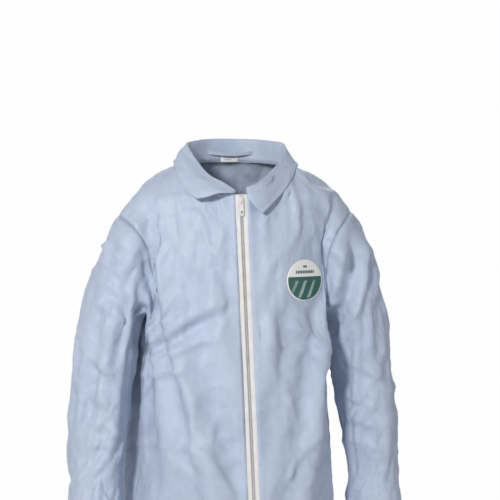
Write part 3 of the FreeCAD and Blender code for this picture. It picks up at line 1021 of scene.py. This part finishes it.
# %% The collar's lines
NECK_CENTRE_Y = -0.015
FOLD_LINE = [
    (-0.018, -0.097, -0.050), (-0.038, -0.086, -0.036), (-0.058, -0.067, -0.024),
    (-0.073, -0.040, -0.003), (-0.086, 0.002, 0.029), (-0.074, 0.027, 0.036),
    (-0.042, 0.055, 0.041), (0.000, 0.065, 0.042), (0.042, 0.055, 0.041),
    (0.074, 0.027, 0.037), (0.087, 0.003, 0.031), (0.082, -0.022, 0.010),
    (0.057, -0.052, -0.013), (0.024, -0.087, -0.036), (0.000, -0.098, -0.045),
]
LEAF_EDGE = [
    (-0.084, -0.094, -0.062), (-0.097, -0.080, -0.054), (-0.108, -0.047, -0.030),
    (-0.111, -0.004, 0.000), (-0.097, 0.046, 0.006), (-0.057, 0.078, 0.008), (0.000, 0.088, 0.008),
    (0.057, 0.078, 0.008), (0.097, 0.046, 0.006), (0.110, -0.004, 0.000), (0.099, -0.036, -0.016),
    (0.078, -0.068, -0.042), (0.052, -0.094, -0.066), (0.027, -0.107, -0.087),
]
RIGHT_END = [FOLD_LINE[0], (-0.026, -0.101, -0.053), (-0.046, -0.101, -0.054),
             (-0.067, -0.099, -0.060), LEAF_EDGE[0]]
LEFT_END = [FOLD_LINE[-1], (0.003, -0.103, -0.062), (0.013, -0.106, -0.076), LEAF_EDGE[-1]]
COLLAR_COLUMNS = 110
STAND_ROWS, LEAF_ROWS = 5, 14
ROLL = 0.0024
LEAF_SWELL = 0.0045

neck_line = [front_vertex(-1, TOP_ROW, column) for column in range(NECK_COLUMNS + 1)]
neck_line += [back_vertex(TOP_ROW, column)
              for column in range(2 * FRONT_COLUMNS - SHOULDER_COLUMNS - 1, SHOULDER_COLUMNS, -1)]
neck_line += [front_vertex(1, TOP_ROW, column) for column in range(NECK_COLUMNS, -1, -1)]
neck_line = [Vector(worn[number]) for number in neck_line]


def even_points(line, count):
    """Points spaced evenly along a curve."""
    return [curve(line, i / count) for i in range(count + 1)]


seam_line = even_points(neck_line, COLLAR_COLUMNS)
fold_line = even_points(FOLD_LINE, COLLAR_COLUMNS)
leaf_edge = even_points(LEAF_EDGE, COLLAR_COLUMNS)
collar_rows = []
outs = []
for place in fold_line:
    out = Vector((place.x, place.y - NECK_CENTRE_Y, 0.0)).normalized()
    outs.append(out)
for row in range(STAND_ROWS):
    up = row / STAND_ROWS
    collar_rows.append([a.lerp(b - out * ROLL, up) - Vector((0, 0, 0.0006)) * (1 - up)
                        for a, b, out in zip(seam_line, fold_line, outs)])
for turn in (0, 60, 120):
    lean, rise = -math.cos(math.radians(turn)), math.sin(math.radians(turn))
    collar_rows.append([place + out * ROLL * lean + Vector((0, 0, ROLL * rise))
                        for place, out in zip(fold_line, outs)])
outer_fold = [place + out * ROLL for place, out in zip(fold_line, outs)]
right_end = even_points([outer_fold[0], *RIGHT_END[1:]], LEAF_ROWS)
left_end = even_points([outer_fold[-1], *LEFT_END[1:]], LEAF_ROWS)
for row in range(LEAF_ROWS + 1):
    v = row / LEAF_ROWS
    made = []
    for column in range(COLLAR_COLUMNS + 1):
        u = column / COLLAR_COLUMNS
        point = coons(lambda s: outer_fold[round(s * COLLAR_COLUMNS)],
                      lambda s: leaf_edge[round(s * COLLAR_COLUMNS)],
                      lambda s: right_end[round(s * LEAF_ROWS)],
                      lambda s: left_end[round(s * LEAF_ROWS)], u, v)
        swell = LEAF_SWELL * math.sin(math.pi * min(v * 1.15, 1))
        ripple = noise.noise(Vector((u * 19, v * 1.6, 4.1))) * 0.0032 * v
        made.append(point + outs[column] * (swell + ripple) + Vector((0, 0, swell * 0.4)))
    collar_rows.append(made)
LEAF_START = STAND_ROWS + 3


def clear_of(tree, point, gap):
    """The point, moved out to a gap from a surface where it lies closer or has sunk in."""
    place, normal, _, away = tree.find_nearest(point)
    if place is None or away > 0.035:
        return point
    height = (point - place).dot(normal)
    return point + normal * (gap - height) if height < gap else point


for lap in range(6):
    for row in range(LEAF_START + 1, len(collar_rows)):
        gap = 0.0022 if row < len(collar_rows) - 2 else 0.0016
        collar_rows[row] = [clear_of(shell_tree, point, gap) for point in collar_rows[row]]
    if lap == 5:
        break
    before = [list(row) for row in collar_rows]
    for row in range(LEAF_START + 1, len(collar_rows) - 1):
        for column in range(1, COLLAR_COLUMNS):
            mean = (before[row - 1][column] + before[row + 1][column]
                    + before[row][column - 1] + before[row][column + 1]) / 4
            collar_rows[row][column] = before[row][column].lerp(mean, 0.5)
for lap in range(8):
    rim = list(collar_rows[-1])
    for column in range(2, COLLAR_COLUMNS - 1):
        mean = (rim[column - 1] + rim[column + 1]) / 2
        collar_rows[-1][column] = rim[column].lerp(mean, 0.5)


def grid_object(name, rows, pitch):
    """A sheet through rows of points, with a UV map in metres of cloth."""
    wide = len(rows[0])
    points = [tuple(p) for row in rows for p in row]
    faces, spots = [], []
    for i in range(len(rows) - 1):
        for k in range(wide - 1):
            a = i * wide + k
            faces.append((a, a + 1, a + wide + 1, a + wide))
            for du, dv in ((0, 0), (1, 0), (1, 1), (0, 1)):
                spots += [(k + du) * pitch[0], (i + dv) * pitch[1]]
    mesh = bpy.data.meshes.new(name)
    mesh.from_pydata(points, [], faces)
    mesh.uv_layers.new(name="cloth").data.foreach_set("uv", spots)
    for polygon in mesh.polygons:
        polygon.use_smooth = True
    thing = bpy.data.objects.new(name, mesh)
    scene.collection.objects.link(thing)
    return thing


def edge_distances(thing, seams, hems):
    """Writes how far each point is from a sheet's sewn points and from its free edge."""
    places = mesh_points(thing.data)
    for name, marked in (("seam_m", seams), ("hem_m", hems)):
        values = distances(places, marked) if marked else np.full(len(places), 1.0)
        attribute = thing.data.attributes.new(name, "FLOAT", "POINT")
        attribute.data.foreach_set("value", values.astype(np.float32))
    for name in ("front_m", "neck_m"):
        attribute = thing.data.attributes.new(name, "FLOAT", "POINT")
        attribute.data.foreach_set("value", np.full(len(places), 1.0, dtype=np.float32))


def flip_if_inward(thing, outward):
    """Turns a sheet's faces over if most of them look away from the outward direction."""
    facing_out = sum(p.area * (1 if p.normal.dot(outward(p.center)) > 0 else -1)
                     for p in thing.data.polygons)
    if facing_out < 0:
        thing.data.flip_normals()


collar = grid_object("collar_cloth", collar_rows, (0.0050, 0.0058))
wide = COLLAR_COLUMNS + 1
last = len(collar_rows) - 1
edge = set(range(last * wide, (last + 1) * wide))
for row in range(LEAF_START, last + 1):
    edge.update((row * wide, row * wide + COLLAR_COLUMNS))
edge_distances(collar, set(range(wide)), edge)
leaf_out = sum(p.area * (1 if p.normal.dot(Vector((p.center.x, p.center.y - NECK_CENTRE_Y, 0.3 * p.center.z))) > 0
                         else -1)
               for p in collar.data.polygons if p.index >= LEAF_START * COLLAR_COLUMNS)
if leaf_out < 0:
    collar.data.flip_normals()
thicken(collar, 0.0012)
print("collar", len(collar.data.polygons), "faces")

# %% [markdown]
# ## The zip
#
# A coil zip is two woven tapes, each with a nylon monofilament wound into teeth along its edge.
# The tape shows as a white band beside the folded front edges, and the teeth of the two sides
# interlock over their whole length, because the coat is worn closed.

# %% The zip's own directions
TO_LEFT = Vector((-ZIP_DOWN.z, 0, ZIP_DOWN.x)).normalized()
OUT = ZIP_DOWN.cross(TO_LEFT)
TAPE_NEAR, TAPE_FAR = 0.0024, 0.0133
TAPE_TOP_OUT = 0.0001
TOOTH_PITCH = 0.0016
COIL_START, COIL_END = 0.0036, 0.7950


def on_zip(left, out, down):
    return ZIP_TOP + TO_LEFT * left + OUT * out + ZIP_DOWN * down


ZIP_FRAME = Matrix((
    (TO_LEFT.x, -ZIP_DOWN.x, OUT.x, ZIP_TOP.x),
    (TO_LEFT.y, -ZIP_DOWN.y, OUT.y, ZIP_TOP.y),
    (TO_LEFT.z, -ZIP_DOWN.z, OUT.z, ZIP_TOP.z),
    (0, 0, 0, 1),
))

# %% Weave the tapes
TAPE_LENGTH = 0.8036
tapes = {}
for side, name in ((1, "left_tape_cloth"), (-1, "right_tape_cloth")):
    across = np.linspace(TAPE_NEAR, TAPE_FAR, 9)
    rows = []
    for down in np.linspace(0.0003, TAPE_LENGTH, 270):
        wave = 0.00012 * math.sin(down * 210 + side)
        rows.append([on_zip(side * a, TAPE_TOP_OUT + wave * (a - TAPE_NEAR) / 0.008, down)
                     for a in across])
    tape = grid_object(name, rows, (0.00136, 0.003))
    flip_if_inward(tape, lambda place: OUT)
    thicken(tape, 0.0004)
    tapes[side] = tape
print("tapes", [len(tape.data.polygons) for tape in tapes.values()])

# %% Wind the teeth
coils = {}
tooth_count = int((COIL_END - COIL_START) / TOOTH_PITCH)
for side, name in ((1, "left_coil_teeth"), (-1, "right_coil_teeth")):
    bpy.ops.object.select_all(action="DESELECT")
    bpy.ops.mesh.primitive_cube_add(size=1)
    tooth = bpy.context.object
    tooth.name = name
    tooth.scale = (0.0036, 0.00074, 0.0019)
    first_down = COIL_START + (TOOTH_PITCH / 2 if side > 0 else 0)
    tooth.location = (side * 0.0010, -first_down, 0)
    bpy.ops.object.transform_apply(location=True, rotation=True, scale=True)
    round_off = tooth.modifiers.new("round", "BEVEL")
    round_off.width = 0.00022
    round_off.segments = 1
    repeat = tooth.modifiers.new("repeat", "ARRAY")
    repeat.use_relative_offset = False
    repeat.use_constant_offset = True
    repeat.constant_offset_displace = (0, -TOOTH_PITCH, 0)
    repeat.count = tooth_count
    for modifier in list(tooth.modifiers):
        bpy.ops.object.modifier_apply(modifier=modifier.name)
    tooth.data.transform(ZIP_FRAME)
    tooth.data.update()
    coils[side] = tooth
print("teeth on each side", tooth_count)

# %% [markdown]
# ## The badge
#
# The round badge is a printed film stuck on the left chest. It is drawn as rings of points laid
# on the fitted chest surface, so the cloth's crumples don't show through it, and its rim lies flat.

# %% Lay the badge on the chest
bpy.ops.object.select_all(action="DESELECT")
bpy.ops.mesh.primitive_circle_add(vertices=96, radius=BADGE_RADIUS, fill_type="NOTHING")
badge = bpy.context.object
badge.name = "badge_film"
bpy.ops.object.mode_set(mode="EDIT")
bpy.ops.mesh.select_all(action="SELECT")
for ring in range(11):
    bpy.ops.mesh.extrude_region()
    shrink = (11.5 - ring - 1) / (11.5 - ring)
    bpy.ops.transform.resize(value=(shrink, shrink, 1), center_override=(0, 0, 0))
bpy.ops.mesh.edge_face_add()
bpy.ops.object.mode_set(mode="OBJECT")
badge_uv = badge.data.uv_layers.new(name="print")
for loop in badge.data.loops:
    flat = badge.data.vertices[loop.vertex_index].co
    badge_uv.data[loop.index].uv = (flat.x / BADGE_RADIUS, flat.y / BADGE_RADIUS)
BADGE_LIFT = 0.0009
for point in badge.data.vertices:
    x, z = BADGE_CENTRE.x + point.co.x, BADGE_CENTRE.z + point.co.y
    y = float(quadratic(np.array(x), np.array(z)) @ badge_fit)
    point.co = (x, y - BADGE_LIFT, z)
flip_if_inward(badge, lambda place: Vector((0, -1, 0)))
for polygon in badge.data.polygons:
    polygon.use_smooth = True
thicken(badge, 0.0003)

# %% [markdown]
# ## Pockets, hanging loop and size label
#
# Two patch pockets lie on the skirt. A patch follows the panel that it is sewn to and stands a
# little away from it at the mouth. The hanging loop and the label sit inside the collar stand.

# %% Lay the pockets on the skirt
worn_tree = shell_tree
pockets = {}
POCKET_ROWS, POCKET_COLUMNS = 40, 28
for side, name in ((1, "left_pocket"), (-1, "right_pocket")):
    low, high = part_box(name)
    depth = np.zeros((POCKET_ROWS + 1, POCKET_COLUMNS + 1))
    xs = np.linspace(low.x, high.x, POCKET_COLUMNS + 1)
    zs = np.linspace(high.z, low.z, POCKET_ROWS + 1)
    for i, z in enumerate(zs):
        for k, x in enumerate(xs):
            place = worn_tree.ray_cast(Vector((x, -1.0, z)), Vector((0, 1, 0)))[0]
            depth[i, k] = place.y
    skin = depth.copy()
    for lap in range(8):
        padded_depth = np.pad(skin, 1, mode="edge")
        mean = (padded_depth[:-2, 1:-1] + padded_depth[2:, 1:-1]
                + padded_depth[1:-1, :-2] + padded_depth[1:-1, 2:]) / 4
        skin = np.minimum(mean, depth)
    rows = []
    for i, z in enumerate(zs):
        mouth = 0.0035 * max(0.0, 1 - i / 14)
        row = []
        for k, x in enumerate(xs):
            belly = math.sin(math.pi * k / POCKET_COLUMNS)
            row.append(Vector((x, skin[i, k] - 0.0009 - mouth * belly, z)))
        rows.append(row)
    pocket = grid_object(name + "_cloth", rows, (0.118 / POCKET_COLUMNS, 0.170 / POCKET_ROWS))
    wide = POCKET_COLUMNS + 1
    rim = {i * wide for i in range(POCKET_ROWS + 1)} | {i * wide + wide - 1 for i in range(POCKET_ROWS + 1)}
    rim |= set(range(POCKET_ROWS * wide, (POCKET_ROWS + 1) * wide))
    edge_distances(pocket, set(), rim | set(range(wide)))
    flip_if_inward(pocket, lambda place: Vector((0, -1, 0)))
    thicken(pocket, CLOTH)
    pockets[side] = pocket
print("pockets", [len(pocket.data.polygons) for pocket in pockets.values()])

# %% Sew in the hanging loop and the label
loop_low, loop_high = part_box("hanger_loop")
bpy.ops.object.select_all(action="DESELECT")
bpy.ops.mesh.primitive_cube_add(size=1)
loop = bpy.context.object
loop.name = "hanging_loop"
loop.scale = (loop_high.x - loop_low.x, 0.0014, loop_high.z - loop_low.z)
loop.location = ((loop_low.x + loop_high.x) / 2, loop_high.y - 0.0007, (loop_low.z + loop_high.z) / 2)
bpy.ops.object.transform_apply(location=True, rotation=True, scale=True)
bpy.ops.object.mode_set(mode="EDIT")
bpy.ops.mesh.select_all(action="SELECT")
bpy.ops.mesh.subdivide(number_cuts=12)
bpy.ops.object.mode_set(mode="OBJECT")
HALF_LOOP = (loop_high.x - loop_low.x) / 2
for point in loop.data.vertices:
    share = point.co.x / HALF_LOOP
    point.co.z -= 0.0030 * (1 - share * share)
    point.co.y -= 0.0010 * (1 - share * share)
round_off = loop.modifiers.new("round", "BEVEL")
round_off.width = 0.0005
round_off.segments = 2
round_off.limit_method = "ANGLE"
bpy.ops.object.modifier_apply(modifier=round_off.name)
for polygon in loop.data.polygons:
    polygon.use_smooth = True

label_low, label_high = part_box("size_label")
rows = []
for z in np.linspace(label_high.z, label_low.z, 7):
    fall = (label_high.z - z) / (label_high.z - label_low.z)
    rows.append([Vector((x, label_low.y + 0.0003 - 0.0012 * fall * math.cos(x * 90), z))
                 for x in np.linspace(label_low.x, label_high.x, 15)])
label = grid_object("size_label_ribbon", rows, (0.0023, 0.0022))
flip_if_inward(label, lambda place: Vector((0, -1, 0)))
thicken(label, 0.0003)

# %% [markdown]
# ## Materials
#
# Everything here is procedural. A small class wraps a socket, so that a pattern is written as plain
# arithmetic. The cloth is spun-bonded: fine fibres laid at random and welded together by a grid of
# tiny hot points, so it has a faint emboss, cloudy fibre density and paper-like crinkles.

# %% A shader's arithmetic
class Value:
    """One socket of a shader's tree, with arithmetic."""

    def __init__(self, tree, socket):
        self.tree, self.socket = tree, socket

    def node(self, kind, settings=(), inputs=(), output=0):
        """Adds a node: settings are its properties, inputs its socket values or links."""
        made = self.tree.nodes.new(kind)
        for name, value in dict(settings).items():
            setattr(made, name, value)
        for name, value in dict(inputs).items():
            if isinstance(value, Value):
                self.tree.links.new(value.socket, made.inputs[name])
            else:
                made.inputs[name].default_value = value
        return Value(self.tree, made.outputs[output])

    def math(self, operation, *others):
        inputs = dict(enumerate((self, *others)))
        return self.node("ShaderNodeMath", {"operation": operation}, inputs)

    def __add__(self, other):
        return self.math("ADD", other)

    def __radd__(self, other):
        return self.math("ADD", other)

    def __mul__(self, other):
        return self.math("MULTIPLY", other)

    def __rmul__(self, other):
        return self.math("MULTIPLY", other)

    def __sub__(self, other):
        return self.math("SUBTRACT", other)

    def __rsub__(self, other):
        return (self * -1).math("ADD", other)

    def __truediv__(self, other):
        return self.math("DIVIDE", other)

    def rise(self, low, high):
        """0 below low, 1 above high and a soft rise between."""
        settings = {"interpolation_type": "SMOOTHSTEP"}
        inputs = {"Value": self, "From Min": low, "From Max": high}
        return self.node("ShaderNodeMapRange", settings, inputs)

    def mix(self, low, high):
        """A colour between two, at this share."""
        made = self.tree.nodes.new("ShaderNodeMix")
        made.data_type = "RGBA"
        self.tree.links.new(self.socket, made.inputs[0])
        for place, colour in ((6, low), (7, high)):
            if isinstance(colour, Value):
                self.tree.links.new(colour.socket, made.inputs[place])
            else:
                made.inputs[place].default_value = (*colour, 1.0)
        return Value(self.tree, made.outputs[2])


def new_material(name):
    """A material, its shader, and a value to start patterns from."""
    made = bpy.data.materials.new(name)
    made.use_nodes = True
    tree = made.node_tree
    return made, tree.nodes["Principled BSDF"], Value(tree, None)


def finish_material(shader, colour, roughness, height, distance=1.0, **constants):
    """Joins the patterns to the shader."""
    tree = colour.tree
    tree.links.new(colour.socket, shader.inputs["Base Color"])
    tree.links.new(roughness.socket, shader.inputs["Roughness"])
    bump = height.node("ShaderNodeBump", (), {"Height": height, "Distance": distance, "Strength": 1.0})
    tree.links.new(bump.socket, shader.inputs["Normal"])
    for name, value in constants.items():
        shader.inputs[name.replace("_", " ")].default_value = value


def noise_of(start, place, scale, detail=3.0, distortion=0.0):
    inputs = {"Vector": place, "Scale": scale, "Detail": detail, "Distortion": distortion}
    return start.node("ShaderNodeTexNoise", (), inputs)


def cells_of(start, place, scale, feature="DISTANCE_TO_EDGE"):
    inputs = {"Vector": place, "Scale": scale}
    return start.node("ShaderNodeTexVoronoi", {"feature": feature}, inputs)


def uv_of(start, name):
    place = start.node("ShaderNodeUVMap", {"uv_map": name})
    parts = start.node("ShaderNodeSeparateXYZ", (), {"Vector": place})
    nodes = parts.socket.node
    return place, Value(start.tree, nodes.outputs["X"]), Value(start.tree, nodes.outputs["Y"])


def measure_of(start, name):
    """A distance in metres that was written on the mesh's points."""
    return start.node("ShaderNodeAttribute", {"attribute_name": name}, (), "Fac")


def dashes(along, pitch):
    """1 on each stitch of a row and 0 in the gap after it."""
    return (along / pitch).math("FRACT").rise(0.10, 0.22) * (1 - (along / pitch).math("FRACT").rise(0.70, 0.82))


def near(distance, place, half):
    """1 at a distance from an edge, falling to 0 at half a width to each side."""
    return 1 - (distance - place).math("ABSOLUTE").rise(half * 0.4, half)


# %% The blue cloth
BLUE = (0.420, 0.492, 0.625)
BLUE_LIGHT = (0.500, 0.575, 0.705)
BLUE_DEEP = (0.350, 0.420, 0.550)
THREAD = (0.58, 0.64, 0.74)


def cloth_material(name, hem_stitch, crinkle):
    """Spun-bonded cloth. hem_stitch is the stitch row's distance from a hem."""
    made, shader, start = new_material(name)
    place, u, v = uv_of(start, "cloth")
    bend = noise_of(start, place, 22.0, 2.0)
    warped = start.node("ShaderNodeVectorMath", {"operation": "SCALE"}, {0: bend.node(
        "ShaderNodeTexNoise", (), {"Vector": place, "Scale": 16.0, "Detail": 2.0}, "Color"), "Scale": 0.03})
    bent_place = start.node("ShaderNodeVectorMath", {"operation": "ADD"}, {0: place, 1: warped})
    ridges = 1 - (noise_of(start, bent_place, 13.0, 1.5) - 0.5).math("ABSOLUTE").rise(0.0, 0.14)
    broad = cells_of(start, bent_place, 17.0).rise(0.0, 0.34)
    middle = cells_of(start, bent_place, 41.0).rise(0.0, 0.30)
    fine = noise_of(start, place, 210.0, 4.0, 0.6)
    fibres = noise_of(start, place, 1500.0, 3.0, 1.2)
    clouds = noise_of(start, place, 9.0, 3.0)
    dots = ((u * 3927).math("SINE") * (v * 3927).math("SINE")).rise(0.35, 0.85)
    seam, hem = measure_of(start, "seam_m"), measure_of(start, "hem_m")
    front = measure_of(start, "front_m")
    hem_row = near(hem, hem_stitch, 0.0008) * dashes(u + v, 0.0036)
    front_row = near(front, 0.0058, 0.0008) * dashes(v, 0.0036) * hem.rise(0.004, 0.008)
    stitches = hem_row.math("MAXIMUM", front_row)
    puckers = (1 - seam.rise(0.004, 0.016)) * noise_of(start, place, 130.0, 1.0)
    colour = clouds.rise(0.32, 0.70).mix(BLUE_DEEP, BLUE)
    colour = (fibres.rise(0.35, 0.75) * 0.75).mix(colour, BLUE_LIGHT)
    colour = (dots * 0.30).mix(colour, BLUE_LIGHT)
    colour = ((1 - middle) * 0.22).mix(colour, BLUE_LIGHT)
    colour = (stitches * 0.8).mix(colour, THREAD)
    roughness = 0.42 + fine * 0.16 + clouds * 0.10 - dots * 0.06
    height = (ridges * 0.0013 + broad * 0.0010 + middle * 0.0003) * crinkle + fine * 0.00022 + fibres * 0.00003
    height = height - dots * 0.00004 + puckers * 0.0009 - stitches * 0.00025
    finish_material(shader, colour, roughness, height, Sheen_Weight=0.12, Sheen_Roughness=0.45,
                    Specular_IOR_Level=0.42)
    return made


coat_cloth = cloth_material("coat_cloth", 0.0155, 1.0)
collar_material = cloth_material("collar_material", 0.0050, 0.45)
pocket_material = cloth_material("pocket_material", 0.0030, 0.7)
for thing in panels.values():
    thing.data.materials.append(coat_cloth)
collar.data.materials.append(collar_material)
for pocket in pockets.values():
    pocket.data.materials.append(pocket_material)
loop_cloth, shader, start = new_material("loop_cloth")
place = start.node("ShaderNodeTexCoord", (), (), "Object")
grain = noise_of(start, place, 900.0, 3.0)
clouds = noise_of(start, place, 60.0, 2.0)
finish_material(shader, clouds.mix(BLUE_DEEP, BLUE_LIGHT), 0.55 + grain * 0.2, grain * 0.00015)
loop.data.materials.append(loop_cloth)

# %% The zip's tape, teeth and enamel, and the label
tape_weave, shader, start = new_material("tape_weave")
place, u, v = uv_of(start, "cloth")
warp = ((u * 9000).math("SINE") * (v * 5200).math("SINE") + 1) * 0.5
rib = ((u * 4200).math("SINE") + 1) * 0.5
soil = noise_of(start, place, 45.0, 3.0)
colour = soil.rise(0.3, 0.8).mix((0.78, 0.765, 0.755), (0.68, 0.665, 0.65))
colour = (warp * 0.35).mix(colour, (0.86, 0.85, 0.84))
finish_material(shader, colour, 0.70 + warp * 0.12, warp * 0.00009 + rib * 0.00006,
                Sheen_Weight=0.2, Sheen_Roughness=0.4)
for tape in tapes.values():
    tape.data.materials.append(tape_weave)

coil_nylon, shader, start = new_material("coil_nylon")
place = start.node("ShaderNodeTexCoord", (), (), "Object")
cloudy = noise_of(start, place, 400.0, 2.0)
wear = noise_of(start, place, 55.0, 3.0).rise(0.45, 0.75)
finish_material(shader, wear.mix((0.66, 0.65, 0.645), (0.56, 0.55, 0.54)), 0.34 + cloudy * 0.18,
                cloudy * 0.00006, Specular_IOR_Level=0.5)
for coil in coils.values():
    coil.data.materials.append(coil_nylon)

enamel, shader, start = new_material("zip_enamel")
place = start.node("ShaderNodeTexCoord", (), (), "Object")
orange_peel = noise_of(start, place, 900.0, 2.0)
rubbed = noise_of(start, place, 240.0, 4.0, 0.5).rise(0.60, 0.72)
finish_material(shader, rubbed.mix((0.74, 0.735, 0.725), (0.60, 0.60, 0.595)),
                0.28 + orange_peel * 0.10 + rubbed * 0.15, orange_peel * 0.00006,
                Coat_Weight=0.25, Coat_Roughness=0.12)
HARD_NODES = ["zip_slider", "zip_pull", "left_top_stop", "right_top_stop", "zip_pin", "zip_retainer"]
for name in HARD_NODES:
    frame["nodes"][name].data.materials.clear()
    frame["nodes"][name].data.materials.append(enamel)

ribbon, shader, start = new_material("label_ribbon")
place, u, v = uv_of(start, "cloth")
satin = ((v * 7000).math("SINE") + 1) * 0.5
mottle = noise_of(start, place, 150.0, 2.0)
bars = near(v, 0.0052, 0.0011) * u.rise(0.006, 0.007) * (1 - u.rise(0.026, 0.027))
bars = bars.math("MAXIMUM", near(v, 0.0086, 0.0008) * u.rise(0.006, 0.007) * (1 - u.rise(0.019, 0.020)))
colour = mottle.mix((0.80, 0.80, 0.79), (0.72, 0.72, 0.715))
colour = (bars * 0.85).mix(colour, (0.12, 0.15, 0.20))
finish_material(shader, colour, 0.45 + satin * 0.15, satin * 0.00003)
label.data.materials.append(ribbon)

# %% [markdown]
# The badge's print is a plain two-part design: a white field with three short bars over a green
# field with pale slanting bands, inside a thin pale rim.

# %% The badge's print
badge_print, shader, start = new_material("badge_print")
place, u, v = uv_of(start, "print")
radius = (u * u + v * v).math("SQRT")
upper = v.rise(0.165, 0.185)
slant = u * 12.5 - v * 6.0 + 1.6 * noise_of(start, place, 2.4, 2.0)
bands = slant.math("SINE").rise(0.45, 0.62) * (1 - v.rise(-0.06, 0.02)) * v.rise(-0.88, -0.76)
bands = bands * (0.30 + 0.70 * (1 - u.math("ABSOLUTE").rise(0.30, 0.85)))
bar = near(v, 0.40, 0.10) * (1 - u.math("ABSOLUTE").rise(0.50, 0.53))
gap = (u * 7.0).math("FRACT").rise(0.12, 0.18)
small = near(v, 0.66, 0.07) * (1 - u.math("ABSOLUTE").rise(0.09, 0.12))
rim = radius.rise(0.925, 0.945)
ink_spread = noise_of(start, place, 26.0, 4.0)
green = ink_spread.mix((0.013, 0.085, 0.072), (0.025, 0.125, 0.105))
colour = (bands * 0.75).mix(green, (0.42, 0.50, 0.47))
colour = upper.mix(colour, (0.80, 0.78, 0.75))
colour = ((bar * gap).math("MAXIMUM", small) * upper).mix(colour, (0.05, 0.12, 0.11))
colour = rim.mix(colour, (0.80, 0.79, 0.76))
scuffs = noise_of(start, place, 14.0, 5.0, 0.4)
finish_material(shader, colour, 0.30 + scuffs * 0.22, scuffs * 0.00012 + ink_spread * 0.00003,
                Specular_IOR_Level=0.5)
badge.data.materials.append(badge_print)

# %% [markdown]
# ## What each piece stands for
#
# Each visible piece replaces the plain CAD pieces that it stands for. All but the sleeves ride on the coat's body;
# the sleeves keep their place, with their transforms baked in. The sewn area of each panel is summed.


sewn_area = {name: 0.0 for name in PANELS}
for corners, number in zip(coat_faces, coat_panels):
    a, b, c, d = (coat_points[n] for n in corners)
    sewn_area[PANELS[number]] += ((c - a).cross(d - b)).length / 2
for name, thing in panels.items():
    if "sleeve" not in name:
        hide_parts(name)
        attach(thing, "coat")
        continue
    side_name = name.split("_")[0]
    side = 1 if side_name == "left" else -1
    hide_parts(*(f"{side_name}_{part}_sleeve" for part in ("upper", "elbow", "lower")))
    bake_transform(thing)

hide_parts("collar_stand", "collar_leaf")
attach(collar, "coat")
for side, name in ((1, "left"), (-1, "right")):
    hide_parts(f"{name}_zip_tape")
    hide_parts(f"{name}_zip_coil")
    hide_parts(f"{name}_pocket")
    for thing in (tapes[side], coils[side], pockets[side]):
        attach(thing, "coat")
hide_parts("chest_badge")
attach(badge, "coat")
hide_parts("hanger_loop")
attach(loop, "coat")
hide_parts("size_label")
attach(label, "coat")

# %% [markdown]
# ## Camera, light and floor
#
# The coat is seen a little from the wearer's right, level with the chest, by a long lens. One large
# soft light stands high at the front left, a weaker one opposite, and the surroundings are white.

# %% Camera
VIEW = math.radians(-11)
camera_data = bpy.data.cameras.new("camera")
camera_data.lens = 123
camera = bpy.data.objects.new("camera", camera_data)
scene.collection.objects.link(camera)
AIM = Vector((0.025 * math.cos(VIEW), 0.025 * math.sin(VIEW), -0.153))
camera.location = AIM + Vector((math.sin(VIEW), -math.cos(VIEW), 0.035)) * 3.0
camera.rotation_euler = (AIM - camera.location).to_track_quat("-Z", "Y").to_euler()
scene.camera = camera


# %% Lights and floor
def area_light(name, place, aim, size, power, colour):
    data = bpy.data.lights.new(name, "AREA")
    data.shape = "DISK"
    data.size = size
    data.energy = power
    data.color = colour
    light = bpy.data.objects.new(name, data)
    scene.collection.objects.link(light)
    light.location = place
    light.rotation_euler = (Vector(aim) - Vector(place)).to_track_quat("-Z", "Y").to_euler()


area_light("key", (-1.35, -1.95, 0.70), (0.0, 0.0, -0.42), 0.4, 47, (1.0, 0.985, 0.965))
area_light("fill", (2.1, -1.5, 0.3), (0.0, 0.0, -0.4), 1.4, 9, (0.95, 0.97, 1.0))
area_light("back", (0.6, 2.2, 0.8), (0.0, 0.0, -0.3), 1.2, 18, (1.0, 1.0, 1.0))

bpy.ops.object.select_all(action="DESELECT")
bpy.ops.mesh.primitive_circle_add(vertices=128, radius=3.4, fill_type="NGON",
                                  location=(0, -0.4, HEM_Z - 0.22))
floor = bpy.context.object
floor.name = "floor"
floor_paint, shader, start = new_material("floor_paint")
place = start.node("ShaderNodeTexCoord", (), (), "Object")
tone = noise_of(start, place, 3.0, 3.0)
finish_material(shader, tone.mix((0.80, 0.80, 0.80), (0.83, 0.83, 0.83)), 0.55 + tone * 0.1, tone * 0.0004)
floor.data.materials.append(floor_paint)

# The surroundings are pale grey, and white in the direction that the camera looks towards.
world = bpy.data.worlds.new("studio")
scene.world = world
world.use_nodes = True
start = Value(world.node_tree, None)
direction = start.node("ShaderNodeTexCoord", (), (), "Generated")
parts = start.node("ShaderNodeSeparateXYZ", (), {"Vector": direction})
behind = Value(world.node_tree, parts.socket.node.outputs["Y"]).rise(0.35, 0.93)
glow = behind.mix((0.31, 0.315, 0.325), (0.99, 0.99, 0.99))
world.node_tree.links.new(glow.socket, world.node_tree.nodes["Background"].inputs["Color"])

scene.view_settings.view_transform = "Standard"
scene.view_settings.look = "None"
